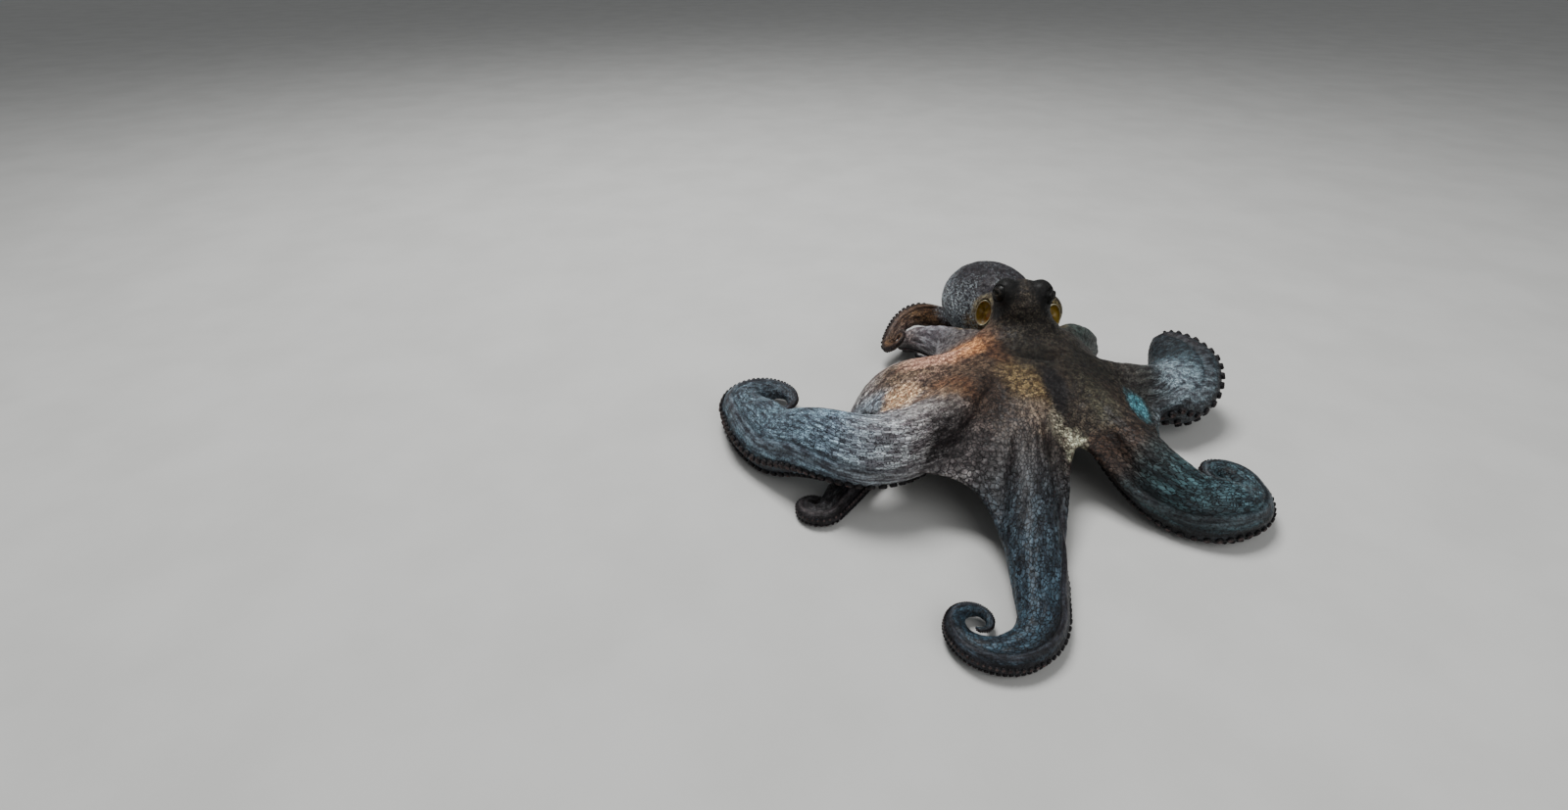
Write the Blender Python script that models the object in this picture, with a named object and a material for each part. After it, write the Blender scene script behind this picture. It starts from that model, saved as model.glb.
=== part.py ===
"""Common octopus crawling over the sea floor with its arms spread and their ends coiled, life size.

Metres, +Z up, -Y the way the animal faces, floor at z = 0. Arms are numbered from the front on
each side: right 1-4 (-X) and left 1-4 (+X). The arm bases, webs and crown are made as one solid
and parted by thin cuts; the head and mantle likewise; the free arm lengths are lofts.
"""
import math

import bmesh
import bpy
import numpy as np

# ---- whole animal
ORIGIN_X = -0.0435          # middle of the bounding box, in the animal's own frame
ORIGIN_Y = -0.0391
GAP = 0.0004               # width of every parting cut
FLOOR_SINK = 0.0004        # how far a resting arm presses into the floor before it is flattened

# ---- arms
PATH_STEP = 0.004
HUB_RADIUS = 0.030         # radius of the ring the arm axes start from
BASE_HALF_DEPTH = 0.018    # half the arm's thickness where it leaves the crown
SWELL_LENGTH = 0.11        # the arm reaches its full thickness this far out
TIP_HALF_DEPTH = 0.0012
SIDE_RATIO = 0.78          # half width across / half depth from back to suckers
RING_POINTS = 10
BASE_RING_SPACING = 0.010
MID_RING_SPACING = 0.015
TIP_RING_SPACING = 0.0095

# Each arm: stations (x, y, z in mm, roll in degrees: 0 suckers down, +90 to the right of travel),
# coil (length, first radius, last radius, +1 left / -1 right, tilt and last roll in degrees),
# deep = half depth where thickest, full = share of the length over which it tapers,
# rest = (settling starts, settled, lift of the tip), cut = ends of the base and middle lengths,
# swell = a longer way out to its full thickness, blunt = below 1 for a rounded end.
ARMS = {
    "right_arm_1": dict(
        stations=[(-11, -28, 70, 0), (-37, -100, 50, -5), (-50, -154, 34, -18), (-60, -198, 22, -45),
                  (-73, -247, 13, -64)],
        coil=(0.144, 0.044, 0.0042, -1, 0, -96), deep=0.0240, full=0.52, rest=(0.17, 0.25, 0.006),
        cut=(0.195, 0.275)),
    "right_arm_2": dict(
        stations=[(-28, -11, 70, 0), (-104, -86, 59, 0), (-163, -111, 57, -15), (-207, -77, 45, -42),
                  (-238, -37, 22, -62), (-259, 13, 20, -78)],
        coil=(0.118, 0.041, 0.0095, -1, 0, -98), deep=0.0280, full=0.33, rest=(0.245, 0.31, 0.010),
        cut=(0.170, 0.300)),
    "right_arm_3": dict(
        stations=[(-28, 11, 68, 0), (-80, 4, 52, 0), (-118, 12, 35, -10), (-138, -2, 18, -40),
                  (-151, -42, 12, -70), (-176, -92, 11, -80), (-198, -122, 11, -85)],
        coil=(0.080, 0.0125, 0.0045, -1, 0, -90), deep=0.0218, full=0.50, rest=(0.15, 0.19, 0.0),
        cut=(0.120, 0.225)),
    "right_arm_4": dict(
        stations=[(-11, 28, 64, 0), (-43, 60, 51, 0), (-58, 97, 39, -20), (-73, 124, 28, -40)],
        coil=(0.110, 0.025, 0.009, -1, 0, -60), deep=0.0215, full=0.9, rest=(0.11, 0.17, 0.0),
        cut=(0.078, 0.150)),
    "left_arm_1": dict(
        stations=[(11, -28, 70, 0), (32, -64, 56, 0), (50, -115, 40, 8), (71, -150, 26, 30),
                  (92, -162, 18, 46), (119, -162, 18, 62), (137, -148, 18, 76), (143, -129, 18, 84)],
        coil=(0.064, 0.0180, 0.0047, 1, 0, 96), deep=0.0255, full=0.42, rest=(0.14, 0.20, 0.018),
        cut=(0.140, 0.225)),
    "left_arm_2": dict(
        stations=[(28, -11, 66, 0), (71, -19, 50, 0), (104, -26, 43, 35), (129, -24, 38, 78)],
        coil=(0.098, 0.037, 0.050, 1, 20, 120), deep=0.033, full=0.22, blunt=0.45, swell=0.17, rest=None,
        cut=(0.104, 0.172)),
    "left_arm_3": dict(
        stations=[(28, 11, 68, 0), (60, 42, 60, 0), (98, 76, 34, 20), (112, 108, 21, 60)],
        coil=(0.120, 0.024, 0.009, 1, 0, 80), deep=0.019, full=0.8, rest=(0.12, 0.17, 0.0),
        cut=(0.082, 0.165)),
    "left_arm_4": dict(
        stations=[(11, 28, 62, 0), (30, 80, 30, 0), (38, 140, 17, 30), (18, 190, 15, 70),
                  (-20, 172, 24, 108), (-57, 162, 38, 132), (-82, 147, 34, 130), (-98, 127, 24, 120)],
        coil=(0.060, 0.016, 0.005, 1, 40, 115), deep=0.019, full=0.50, rest=None,
        cut=(0.080, 0.225)),
}

# ---- webs between neighbouring arms, going round from the front: arm, arm, length along each,
# depth of the bay in the free edge, where across it the bay is deepest, how pointed the bay is,
# height held above the arms' axes out to the free edge in half depths, azimuth of the parting cut
WEB_THICKNESS = 0.0064
WEB_RISE = 0.88            # height of its root above the arm's axis at the crown, in half depths
WEB_EDGE_RISE = 0.62       # how much of that height is kept where a deep bay ends the web early
WEB_SAG = 0.05
WEBS = [
    ("right_arm_1", "left_arm_1", 0.205, 0.165, 0.50, 0.55, 3.0, 0.0, 4.0),
    ("left_arm_1", "left_arm_2", 0.190, 0.122, 0.26, 0.50, 0.8, 0.0, 50.0),
    ("left_arm_2", "left_arm_3", 0.095, 0.090, 0.30, 0.50, 0.8, 0.0, 104.0),
    ("left_arm_3", "left_arm_4", 0.088, 0.086, 0.30, 0.50, 0.8, 0.0, 143.0),
    ("left_arm_4", "right_arm_4", 0.084, 0.084, 0.30, 0.50, 0.8, 0.0, 188.0),
    ("right_arm_4", "right_arm_3", 0.084, 0.105, 0.25, 0.50, 0.8, 0.2, 233.0),
    ("right_arm_3", "right_arm_2", 0.146, 0.176, 0.10, 0.50, 0.8, 0.65, 277.0),
    ("right_arm_2", "right_arm_1", 0.180, 0.255, 0.29, 0.50, 1.1, 0.0, 324.0),
]
CROWN_CENTRE = (0.0, 0.0, 0.067)
CROWN_HALF = (0.040, 0.040, 0.019)
SHOULDERS = [              # centre and half sizes of the swellings that carry the head's base outward
    ((0.003, 0.024, 0.084), (0.034, 0.026, 0.019)),
    ((0.002, 0.012, 0.080), (0.048, 0.036, 0.012)),
]

# ---- head (centred on its own axis, which leans to the right, then turned) and mantle
HEAD_AXIS_Y = 0.032
HEAD_YAW = math.radians(-13.0)
HEAD_LEAN = -0.13          # sideways shift of the head's axis for each metre up
HEAD_LEAN_FROM = 0.1120    # height at which the axis is on the animal's middle plane
COLLAR_HEIGHT = 0.085      # parting of head and crown, at y = 0
COLLAR_SLOPE = -0.25
NECK_CUT_Y = 0.072
HEAD_BLOBS = [             # centre and half sizes, from the head's axis
    ((0.0, 0.000, 0.082), (0.029, 0.027, 0.034)),
    ((0.0, 0.000, 0.105), (0.0250, 0.023, 0.027)),
]
BROW_CENTRE = (0.0150, -0.002, 0.1190)    # swelling that holds the eye
BROW_HALF = (0.0126, 0.0140, 0.0145)
POCKET_CENTRE = (0.031, 0.036, 0.086)     # edge of the mantle round each opening
POCKET_HALF = (0.0125, 0.0170, 0.0165)
NECK_CENTRE = (0.002, 0.060, 0.088)
NECK_HALF = (0.029, 0.030, 0.025)
MANTLE_CENTRE = (0.001, 0.118, 0.072)
MANTLE_HALF = (0.044, 0.063, 0.041)
MANTLE_TILT = math.radians(-14.0)

EYE_RADIUS = 0.0088
EYE_CENTRE = (0.0184, -0.0055, 0.1205)
CUP_CENTRE = (0.0325, 0.0215, 0.0875)    # funnel-like openings of the mantle beside the head
CUP_FACING = (0.35, -0.90, 0.30)
CUP_HALF_WIDTH = 0.0078
CUP_HALF_HEIGHT = 0.0128
CUP_LENGTH = 0.012
MOUTH_CENTRE = (0.0, 0.002, 0.0475)
MOUTH_RADIUS = 0.0125

VOXEL = 0.0030
FLAT_ANGLE = 1.0           # degrees between faces that count as one flat face


def clear_scene():
    for obj in list(bpy.data.objects):
        bpy.data.objects.remove(obj, do_unlink=True)


def ease(t):
    t = np.clip(t, 0.0, 1.0)
    return t * t * (3.0 - 2.0 * t)


# ---------------------------------------------------------------- arm paths
def natural_spline(stations):
    """An evenly stepped natural cubic spline through rows of x, y, z, roll."""
    rows = np.array(stations, float)
    rows[:, :3] /= 1000.0
    n = len(rows)
    knots = np.concatenate([[0.0], np.cumsum(np.linalg.norm(np.diff(rows[:, :3], axis=0), axis=1))])
    gaps = np.diff(knots)
    matrix = np.eye(n)
    right = np.zeros((n, 4))
    for i in range(1, n - 1):
        matrix[i, i - 1:i + 2] = gaps[i - 1], 2.0 * (gaps[i - 1] + gaps[i]), gaps[i]
        right[i] = 6.0 * ((rows[i + 1] - rows[i]) / gaps[i] - (rows[i] - rows[i - 1]) / gaps[i - 1])
    bend = np.linalg.solve(matrix, right)
    t = np.linspace(0.0, knots[-1], 2000)
    k = np.clip(np.searchsorted(knots, t, side="right") - 1, 0, n - 2)
    ahead = (knots[k + 1] - t)[:, None]
    behind = (t - knots[k])[:, None]
    gap = gaps[k][:, None]
    fine = ((bend[k] * ahead ** 3 + bend[k + 1] * behind ** 3) / (6.0 * gap)
            + (rows[k] / gap - bend[k] * gap / 6.0) * ahead
            + (rows[k + 1] / gap - bend[k + 1] * gap / 6.0) * behind)
    length = np.concatenate([[0.0], np.cumsum(np.linalg.norm(np.diff(fine[:, :3], axis=0), axis=1))])
    count = int(round(length[-1] / PATH_STEP)) + 1
    even = np.linspace(0.0, length[-1], count)
    return np.stack([np.interp(even, length, fine[:, c]) for c in range(4)], axis=1)


def half_sizes(s, total, arm):
    """Half depth and half width of the arm at the distance s along it."""
    left = np.clip(1.0 - s / total, 0.0, 1.0)
    deep = TIP_HALF_DEPTH + (arm["deep"] - TIP_HALF_DEPTH) * np.minimum(1.0, left / arm["full"]) ** arm.get("blunt", 1.0)
    swell = ease(s / arm.get("swell", SWELL_LENGTH))
    deep = BASE_HALF_DEPTH + (deep - BASE_HALF_DEPTH) * swell
    return deep, deep * SIDE_RATIO


def arm_path(arm):
    """Distances, points, tangents, directions of the suckers and half sizes along an arm."""
    line = natural_spline(arm["stations"])
    points = list(line[:, :3])
    rolls = list(line[:, 3])
    ups = [np.array([0.0, 0.0, 1.0])] * len(points)
    heading = points[-1] - points[-2]
    heading /= np.linalg.norm(heading)
    length, first, last, sense, tilt, last_roll = arm["coil"]
    normal = np.array([0.0, 0.0, 1.0]) - heading * heading[2]
    normal /= np.linalg.norm(normal)
    normal = normal * math.cos(math.radians(tilt)) + np.cross(heading, normal) * math.sin(math.radians(tilt))
    count = int(round(length / PATH_STEP))
    for i in range(count):
        turn = sense * PATH_STEP / (first + (last - first) * (i + 0.5) / count)
        heading = heading * math.cos(turn) + np.cross(normal, heading) * math.sin(turn)
        points.append(points[-1] + heading * PATH_STEP)
        rolls.append(line[-1, 3] + (last_roll - line[-1, 3]) * ease((i + 1.0) / (0.6 * count)))
        ups.append(normal)
    points = np.array(points)
    s = np.arange(len(points)) * PATH_STEP
    roll = np.radians(rolls)
    deep, wide = half_sizes(s, s[-1], arm)
    if arm["rest"]:
        start, settled, lift = arm["rest"]
        height = np.hypot(np.cos(roll) * deep, np.sin(roll) * wide) - FLOOR_SINK
        height = height + lift * ease((s - settled) / (s[-1] - settled))
        share = ease((s - start) / (settled - start))
        points[:, 2] = points[:, 2] * (1.0 - share) + height * share
    tangents = np.gradient(points, axis=0)
    tangents /= np.linalg.norm(tangents, axis=1)[:, None]
    up = np.array(ups)
    up = up - tangents * (up * tangents).sum(axis=1)[:, None]
    up /= np.linalg.norm(up, axis=1)[:, None]
    right = np.cross(tangents, up)
    oral = -up * np.cos(roll)[:, None] + right * np.sin(roll)[:, None]
    return dict(s=s, points=points, tangents=tangents, oral=oral, deep=deep, wide=wide)


def at(path, key, s):
    """A path's value at distances s, directions made unit length again."""
    s = np.atleast_1d(s)
    table = path[key]
    if table.ndim == 1:
        return np.interp(s, path["s"], table)
    found = np.stack([np.interp(s, path["s"], table[:, c]) for c in range(3)], axis=1)
    if key != "points":
        found /= np.linalg.norm(found, axis=1)[:, None]
    return found


def arm_rings(path, start, end, spacing, points=RING_POINTS):
    """Cross-sections of an arm between two distances: round on the back, flatter at the suckers."""
    count = max(2, int(round((end - start) / spacing)) + 1)
    s = np.linspace(start, end, count)
    middle = at(path, "points", s)
    tangent = at(path, "tangents", s)
    oral = at(path, "oral", s)
    side = np.cross(tangent, oral)
    deep = at(path, "deep", s)[:, None]
    wide = at(path, "wide", s)[:, None]
    rings = []
    for i in range(points):
        angle = 2.0 * math.pi * (i + 0.5) / points
        across = math.copysign(abs(math.cos(angle)) ** 0.86, math.cos(angle))
        down = math.copysign(abs(math.sin(angle)) ** 0.86, math.sin(angle))
        rings.append(middle + side * wide * across + oral * deep * down)
    rings = np.stack(rings, axis=1)
    rings[:, :, 2] = np.maximum(rings[:, :, 2], 0.0)
    return rings


# ---------------------------------------------------------------- meshes
def make_object(name, vertices, faces):
    mesh = bpy.data.meshes.new(name)
    mesh.from_pydata([tuple(v) for v in vertices], [], faces)
    mesh.validate()
    obj = bpy.data.objects.new(name, mesh)
    bpy.context.scene.collection.objects.link(obj)
    face_outward(obj)
    return obj


def face_outward(obj):
    work = bmesh.new()
    work.from_mesh(obj.data)
    bmesh.ops.remove_doubles(work, verts=work.verts, dist=1e-6)
    bmesh.ops.dissolve_degenerate(work, edges=work.edges, dist=1e-6)
    bmesh.ops.recalc_face_normals(work, faces=work.faces)
    bmesh.ops.triangulate(work, faces=work.faces)
    if work.calc_volume(signed=True) < 0.0:
        bmesh.ops.reverse_faces(work, faces=work.faces)
    work.to_mesh(obj.data)
    work.free()


def loft(name, rings):
    """A closed skin over rings of equal point count, with a fan over each end."""
    count, around, _ = rings.shape
    vertices = list(rings.reshape(-1, 3))
    faces = []
    for r in range(count - 1):
        for i in range(around):
            j = (i + 1) % around
            faces.append((r * around + i, r * around + j, (r + 1) * around + j, (r + 1) * around + i))
    for r in (0, count - 1):
        centre = len(vertices)
        vertices.append(rings[r].mean(axis=0))
        for i in range(around):
            faces.append((centre, r * around + i, r * around + (i + 1) % around))
    return make_object(name, vertices, faces)


def turned(points, yaw, about):
    c, s = math.cos(yaw), math.sin(yaw)
    matrix = np.array([[c, -s, 0.0], [s, c, 0.0], [0.0, 0.0, 1.0]])
    return (np.asarray(points, float) - about) @ matrix.T + about


HEAD_AXIS = np.array([0.0, HEAD_AXIS_Y, 0.0])


def in_head(point, side=1):
    """A point given from the head's axis, in the animal's frame."""
    x, y, z = point
    lean = HEAD_LEAN * (z - HEAD_LEAN_FROM)
    return turned(np.array([[side * x + lean, y + HEAD_AXIS_Y, z]]), HEAD_YAW, HEAD_AXIS)[0]


def head_direction(vector, side=1):
    x, y, z = vector
    found = turned(np.array([[side * x, y, z]]), HEAD_YAW, np.zeros(3))[0]
    return found / np.linalg.norm(found)


def blob(name, centre, half, segments=24, rings=14, yaw=0.0, pitch=0.0):
    """An ellipsoid turned about +Z and then pitched about +X."""
    c, s = math.cos(pitch), math.sin(pitch)
    work = bmesh.new()
    bmesh.ops.create_uvsphere(work, u_segments=segments, v_segments=rings, radius=1.0)
    points = np.array([v.co for v in work.verts]) * half
    points = points @ np.array([[1.0, 0.0, 0.0], [0.0, c, -s], [0.0, s, c]]).T
    points = turned(points, yaw, np.zeros(3)) + centre
    faces = [tuple(v.index for v in f.verts) for f in work.faces]
    work.free()
    return make_object(name, points, faces)


def web_root(path, u, u_edge, reach, hold):
    """Where a web leaves an arm: high on its back near the crown, at mid height by the free edge."""
    s = u * reach
    edge = max(hold, WEB_EDGE_RISE * (1.0 - ease(u_edge)))
    rise = edge + (WEB_RISE - edge) * (1.0 - ease(u / u_edge) ** 2)
    return at(path, "points", s)[0] - at(path, "oral", s)[0] * rise * at(path, "deep", s)[0]


def web_sheet(name, first, second, web):
    """A tent of skin between two arms, bayed in at its free edge and a few mm thick."""
    _, _, reach_a, reach_b, bay, deepest, point, hold, _ = web
    rows, columns = 14, 12
    grid = np.zeros((rows, columns, 3))
    for c in range(columns):
        v = c / (columns - 1)
        off = 1.0 - min(v / deepest, (1.0 - v) / (1.0 - deepest))
        arch = 1.0 - off * off
        u_edge = 1.0 - bay * arch ** point
        for r in range(rows):
            u = r / (rows - 1) * u_edge
            a = web_root(first, u, u_edge, reach_a, hold)
            b = web_root(second, u, u_edge, reach_b, hold)
            grid[r, c] = a * (1.0 - v) + b * v
            grid[r, c, 2] -= WEB_SAG * (1.0 - hold) * arch * u * np.linalg.norm(a - b)
    across = np.gradient(grid, axis=1)
    along = np.gradient(grid, axis=0)
    normal = np.cross(across, along)
    normal /= np.maximum(np.linalg.norm(normal, axis=2), 1e-9)[:, :, None]
    half = WEB_THICKNESS / 2.0
    vertices = list((grid + normal * half).reshape(-1, 3)) + list((grid - normal * half).reshape(-1, 3))
    under = rows * columns
    faces = []
    for r in range(rows - 1):
        for c in range(columns - 1):
            k = r * columns + c
            faces.append((k, k + 1, k + columns + 1, k + columns))
            faces.append((under + k, under + k + columns, under + k + columns + 1, under + k + 1))
    rim = [c for c in range(columns)]
    rim += [r * columns + columns - 1 for r in range(1, rows)]
    rim += [(rows - 1) * columns + c for c in range(columns - 2, -1, -1)]
    rim += [r * columns for r in range(rows - 2, 0, -1)]
    for k, m in zip(rim, rim[1:] + rim[:1]):
        faces.append((k, under + k, under + m, m))
    return make_object(name, vertices, faces)


def evaluated(obj):
    """Bakes an object's modifiers into its mesh."""
    graph = bpy.context.evaluated_depsgraph_get()
    mesh = bpy.data.meshes.new_from_object(obj.evaluated_get(graph))
    obj.modifiers.clear()
    obj.data = mesh
    face_outward(obj)


def fused(name, pieces, triangles, smoothing=6):
    """One smooth closed solid from overlapping pieces."""
    vertices, faces = [], []
    for piece in pieces:
        start = len(vertices)
        vertices += [tuple(v.co) for v in piece.data.vertices]
        faces += [tuple(start + i for i in f.vertices) for f in piece.data.polygons]
        bpy.data.objects.remove(piece, do_unlink=True)
    mesh = bpy.data.meshes.new(name)
    mesh.from_pydata(vertices, [], faces)
    obj = bpy.data.objects.new(name, mesh)
    bpy.context.scene.collection.objects.link(obj)
    remesh = obj.modifiers.new("one_skin", "REMESH")
    remesh.mode = "VOXEL"
    remesh.voxel_size = VOXEL
    evaluated(obj)
    smooth = obj.modifiers.new("soften", "SMOOTH")
    smooth.factor = 0.5
    smooth.iterations = smoothing
    thin = obj.modifiers.new("fewer", "DECIMATE")
    thin.ratio = min(1.0, triangles / max(1, len(obj.data.polygons)))
    evaluated(obj)
    return obj


def boolean(obj, cutter, operation, keep=False):
    change = obj.modifiers.new(operation.lower(), "BOOLEAN")
    change.operation = operation
    change.solver = "EXACT"
    change.object = cutter
    evaluated(obj)
    if not keep:
        bpy.data.objects.remove(cutter, do_unlink=True)


def box_between(name, low, high, matrix=None, move=None):
    """A box from its low to its high corner, turned by a matrix and then moved."""
    corners = np.array([[x, y, z] for x in (low[0], high[0]) for y in (low[1], high[1])
                        for z in (low[2], high[2])])
    if matrix is not None:
        corners = corners @ np.asarray(matrix).T
    if move is not None:
        corners = corners + np.asarray(move)
    faces = [(0, 1, 3, 2), (4, 6, 7, 5), (0, 4, 5, 1), (2, 3, 7, 6), (0, 2, 6, 4), (1, 5, 7, 3)]
    return make_object(name, corners, faces)


def plain_faces(obj):
    """Merges the slivers a cut leaves on flat faces."""
    work = bmesh.new()
    work.from_mesh(obj.data)
    bmesh.ops.dissolve_limit(work, angle_limit=math.radians(FLAT_ANGLE), verts=work.verts, edges=work.edges)
    bmesh.ops.triangulate(work, faces=work.faces)
    work.to_mesh(obj.data)
    work.free()


def largest_pieces(obj):
    """The separate bodies of an object as new objects, largest first; specks are dropped."""
    work = bmesh.new()
    work.from_mesh(obj.data)
    work.verts.ensure_lookup_table()
    seen = set()
    bodies = []
    for vertex in work.verts:
        if vertex.index in seen:
            continue
        group, frontier = [], [vertex]
        seen.add(vertex.index)
        while frontier:
            here = frontier.pop()
            group.append(here)
            for edge in here.link_edges:
                other = edge.other_vert(here)
                if other.index not in seen:
                    seen.add(other.index)
                    frontier.append(other)
        bodies.append(group)
    made = []
    for number, group in enumerate(bodies):
        index = {v.index: i for i, v in enumerate(group)}
        faces = {f for v in group for f in v.link_faces}
        rows = [tuple(index[v.index] for v in f.verts) for f in sorted(faces, key=lambda f: f.index)]
        made.append(make_object(f"{obj.name}_body_{number}", [v.co[:] for v in group], rows))
    work.free()
    bpy.data.objects.remove(obj, do_unlink=True)
    made.sort(key=lambda o: -len(o.data.polygons))
    for speck in [o for o in made if len(o.data.polygons) < 24]:
        bpy.data.objects.remove(speck, do_unlink=True)
        made.remove(speck)
    return made


def keep_largest(obj):
    name = obj.name
    bodies = largest_pieces(obj)
    bodies[0].name = name
    for spare in bodies[1:]:
        bpy.data.objects.remove(spare, do_unlink=True)
    return bodies[0]


def frame_along(direction):
    """A matrix whose third column is the direction."""
    third = np.asarray(direction, float) / np.linalg.norm(direction)
    first = np.cross([0.0, 0.0, 1.0], third)
    first /= np.linalg.norm(first)
    return np.stack([first, np.cross(third, first), third], axis=1)


# ---------------------------------------------------------------- the animal's parts
def cut_collar(obj, keep_above):
    """Trims to one side of the sloping plane between the crown and the head."""
    slope = math.atan(COLLAR_SLOPE)
    tilt = np.array([[1.0, 0.0, 0.0], [0.0, math.cos(slope), -math.sin(slope)],
                     [0.0, math.sin(slope), math.cos(slope)]])
    edge = COLLAR_HEIGHT + (GAP / 2.0 if keep_above else -GAP / 2.0)
    low = (-0.4, -0.5, 0.0) if keep_above else (-0.4, -0.5, -0.3)
    high = (0.4, 0.5, 0.3) if keep_above else (0.4, 0.5, 0.0)
    boolean(obj, box_between("collar", low, high, tilt, (0.0, 0.0, edge)), "INTERSECT")


def build_crown(paths):
    """The eight arm bases with half of each neighbouring web, one object for each."""
    pieces = [blob("crown", CROWN_CENTRE, CROWN_HALF)]
    centre, half = HEAD_BLOBS[0]
    pieces.append(blob("column", in_head(centre), half, yaw=HEAD_YAW))
    pieces += [blob("shoulder", c, h) for c, h in SHOULDERS]
    for name, path in paths.items():
        end = ARMS[name]["cut"][0] + 0.010
        pieces.append(loft(name + "_root", arm_rings(path, 0.0, end, BASE_RING_SPACING)))
    for web in WEBS:
        pieces.append(web_sheet("web", paths[web[0]], paths[web[1]], web))
    crown = fused("crown", pieces, 2500)
    cut_collar(crown, keep_above=False)
    for name, path in paths.items():
        trim_arm_end(crown, path, ARMS[name]["cut"][0])
    boolean(crown, blob("mouth_bed", MOUTH_CENTRE, [MOUTH_RADIUS + GAP] * 3), "DIFFERENCE")
    boolean(crown, parting_star(), "DIFFERENCE")
    return crown


def parting_star():
    """Eight thin upright walls that meet at the middle of the crown, one through each web."""
    azimuths = sorted(math.radians(web[-1]) for web in WEBS)
    half, reach = GAP / 2.0, 0.30
    outline = []
    for k, angle in enumerate(azimuths):
        after = azimuths[(k + 1) % len(azimuths)]
        spread = (after - angle) % (2.0 * math.pi)
        out = np.array([math.sin(angle), -math.cos(angle)])
        side = np.array([math.cos(angle), math.sin(angle)])
        middle = angle + spread / 2.0
        corner = np.array([math.sin(middle), -math.cos(middle)]) * half / math.sin(spread / 2.0)
        outline += [out * reach - side * half, out * reach + side * half, corner]
    count = len(outline)
    low, high = -0.01, 0.15
    vertices = [(x, y, low) for x, y in outline] + [(x, y, high) for x, y in outline]
    faces = [tuple(range(count)), tuple(range(2 * count - 1, count - 1, -1))]
    faces += [(i, (i + 1) % count, count + (i + 1) % count, count + i) for i in range(count)]
    return make_object("parting", vertices, faces)


def trim_arm_end(obj, path, s):
    """Cuts the arm off square at the distance s."""
    middle = at(path, "points", s)[0]
    tangent = at(path, "tangents", s)[0]
    reach = 1.5 * at(path, "deep", s)[0]
    low, high = (-reach, -reach, -GAP / 2.0), (reach, reach, 0.030)
    boolean(obj, box_between("trim", low, high, frame_along(tangent), middle), "DIFFERENCE")


def name_bases(crown, paths):
    """Gives each body of the parted crown the name of the arm whose base it holds."""
    bodies = largest_pieces(crown)
    for name, path in paths.items():
        target = at(path, "points", ARMS[name]["cut"][0] - 0.006)[0]
        nearest = min(bodies, key=lambda o: min((np.array(v.co[:]) - target) @ (np.array(v.co[:]) - target)
                                                for v in o.data.vertices))
        nearest.name = name + "_base"
        plain_faces(nearest)
        bodies.remove(nearest)
    for spare in bodies:
        bpy.data.objects.remove(spare, do_unlink=True)


def cup(name, centre, facing, half_width, half_height, length, wall=0.0016, around=12):
    """A short flared tube closed at its inner end, its mouth facing out of the body."""
    frame = frame_along(facing)
    outside = [(0.55, -length), (0.80, -0.6 * length), (0.92, -0.25 * length), (1.0, 0.0)]
    floor = -0.72 * length
    inside = [(1.0 - wall / half_width, 0.0), (0.70, -0.35 * length), (0.45, floor)]
    rings = []
    for share, along in outside + inside:
        ring = []
        for i in range(around):
            angle = 2.0 * math.pi * i / around
            ring.append(np.array([half_width * share * math.cos(angle), half_height * share * math.sin(angle),
                                  along]))
        rings.append(ring)
    rings = np.array(rings) @ frame.T + centre
    return loft(name, rings)


def build_head():
    """Head and mantle as one solid, parted at the neck, with beds for the eyes and openings."""
    pieces = [blob("head", in_head(c), h, yaw=HEAD_YAW) for c, h in HEAD_BLOBS]
    pieces += [blob("shoulder", c, h) for c, h in SHOULDERS]
    pieces.append(blob("neck", NECK_CENTRE, NECK_HALF))
    for side in (-1, 1):
        pieces.append(blob("brow", in_head(BROW_CENTRE, side), BROW_HALF, yaw=HEAD_YAW))
        pieces.append(blob("pocket", in_head(POCKET_CENTRE, side), POCKET_HALF, yaw=HEAD_YAW))
    pieces.append(blob("mantle", MANTLE_CENTRE, MANTLE_HALF, 32, 20, pitch=MANTLE_TILT))
    whole = fused("trunk", pieces, 860, smoothing=5)
    for side, label in ((-1, "right"), (1, "left")):
        eye = in_head(EYE_CENTRE, side)
        boolean(whole, blob("bed", eye, [EYE_RADIUS + GAP] * 3, 14, 8), "DIFFERENCE")
        blob(label + "_eye", eye, [EYE_RADIUS] * 3, 14, 8)
        place, facing = in_head(CUP_CENTRE, side), head_direction(CUP_FACING, side)
        boolean(whole, cup_bed(place, facing), "DIFFERENCE")
        cup(label + "_mantle_opening", place, facing, CUP_HALF_WIDTH, CUP_HALF_HEIGHT, CUP_LENGTH)
    mantle = bpy.data.objects.new("mantle", whole.data.copy())
    bpy.context.scene.collection.objects.link(mantle)
    back = box_between("back", (-0.2, NECK_CUT_Y + GAP / 2.0, -0.1), (0.2, 0.5, 0.3))
    boolean(mantle, back, "INTERSECT")
    whole.name = "head"
    front = box_between("front", (-0.2, -0.3, -0.1), (0.2, NECK_CUT_Y - GAP / 2.0, 0.3))
    boolean(whole, front, "INTERSECT")
    cut_collar(whole, keep_above=True)
    for obj in (whole, mantle):
        plain_faces(keep_largest(obj))


def cup_bed(place, facing):
    """The hollow a mantle opening sits in: its outside, a little larger and open to the outer side."""
    frame = frame_along(facing)
    profile = [(0.60, -CUP_LENGTH - GAP), (0.86, -0.62 * CUP_LENGTH), (1.0, -0.25 * CUP_LENGTH), (1.12, 0.0),
               (1.3, CUP_LENGTH)]
    rings = []
    for share, along in profile:
        rings.append([np.array([CUP_HALF_WIDTH * share * math.cos(a), CUP_HALF_HEIGHT * share * math.sin(a), along])
                      for a in 2.0 * math.pi * np.arange(12) / 12])
    return loft("bed", np.array(rings) @ frame.T + place)


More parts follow.
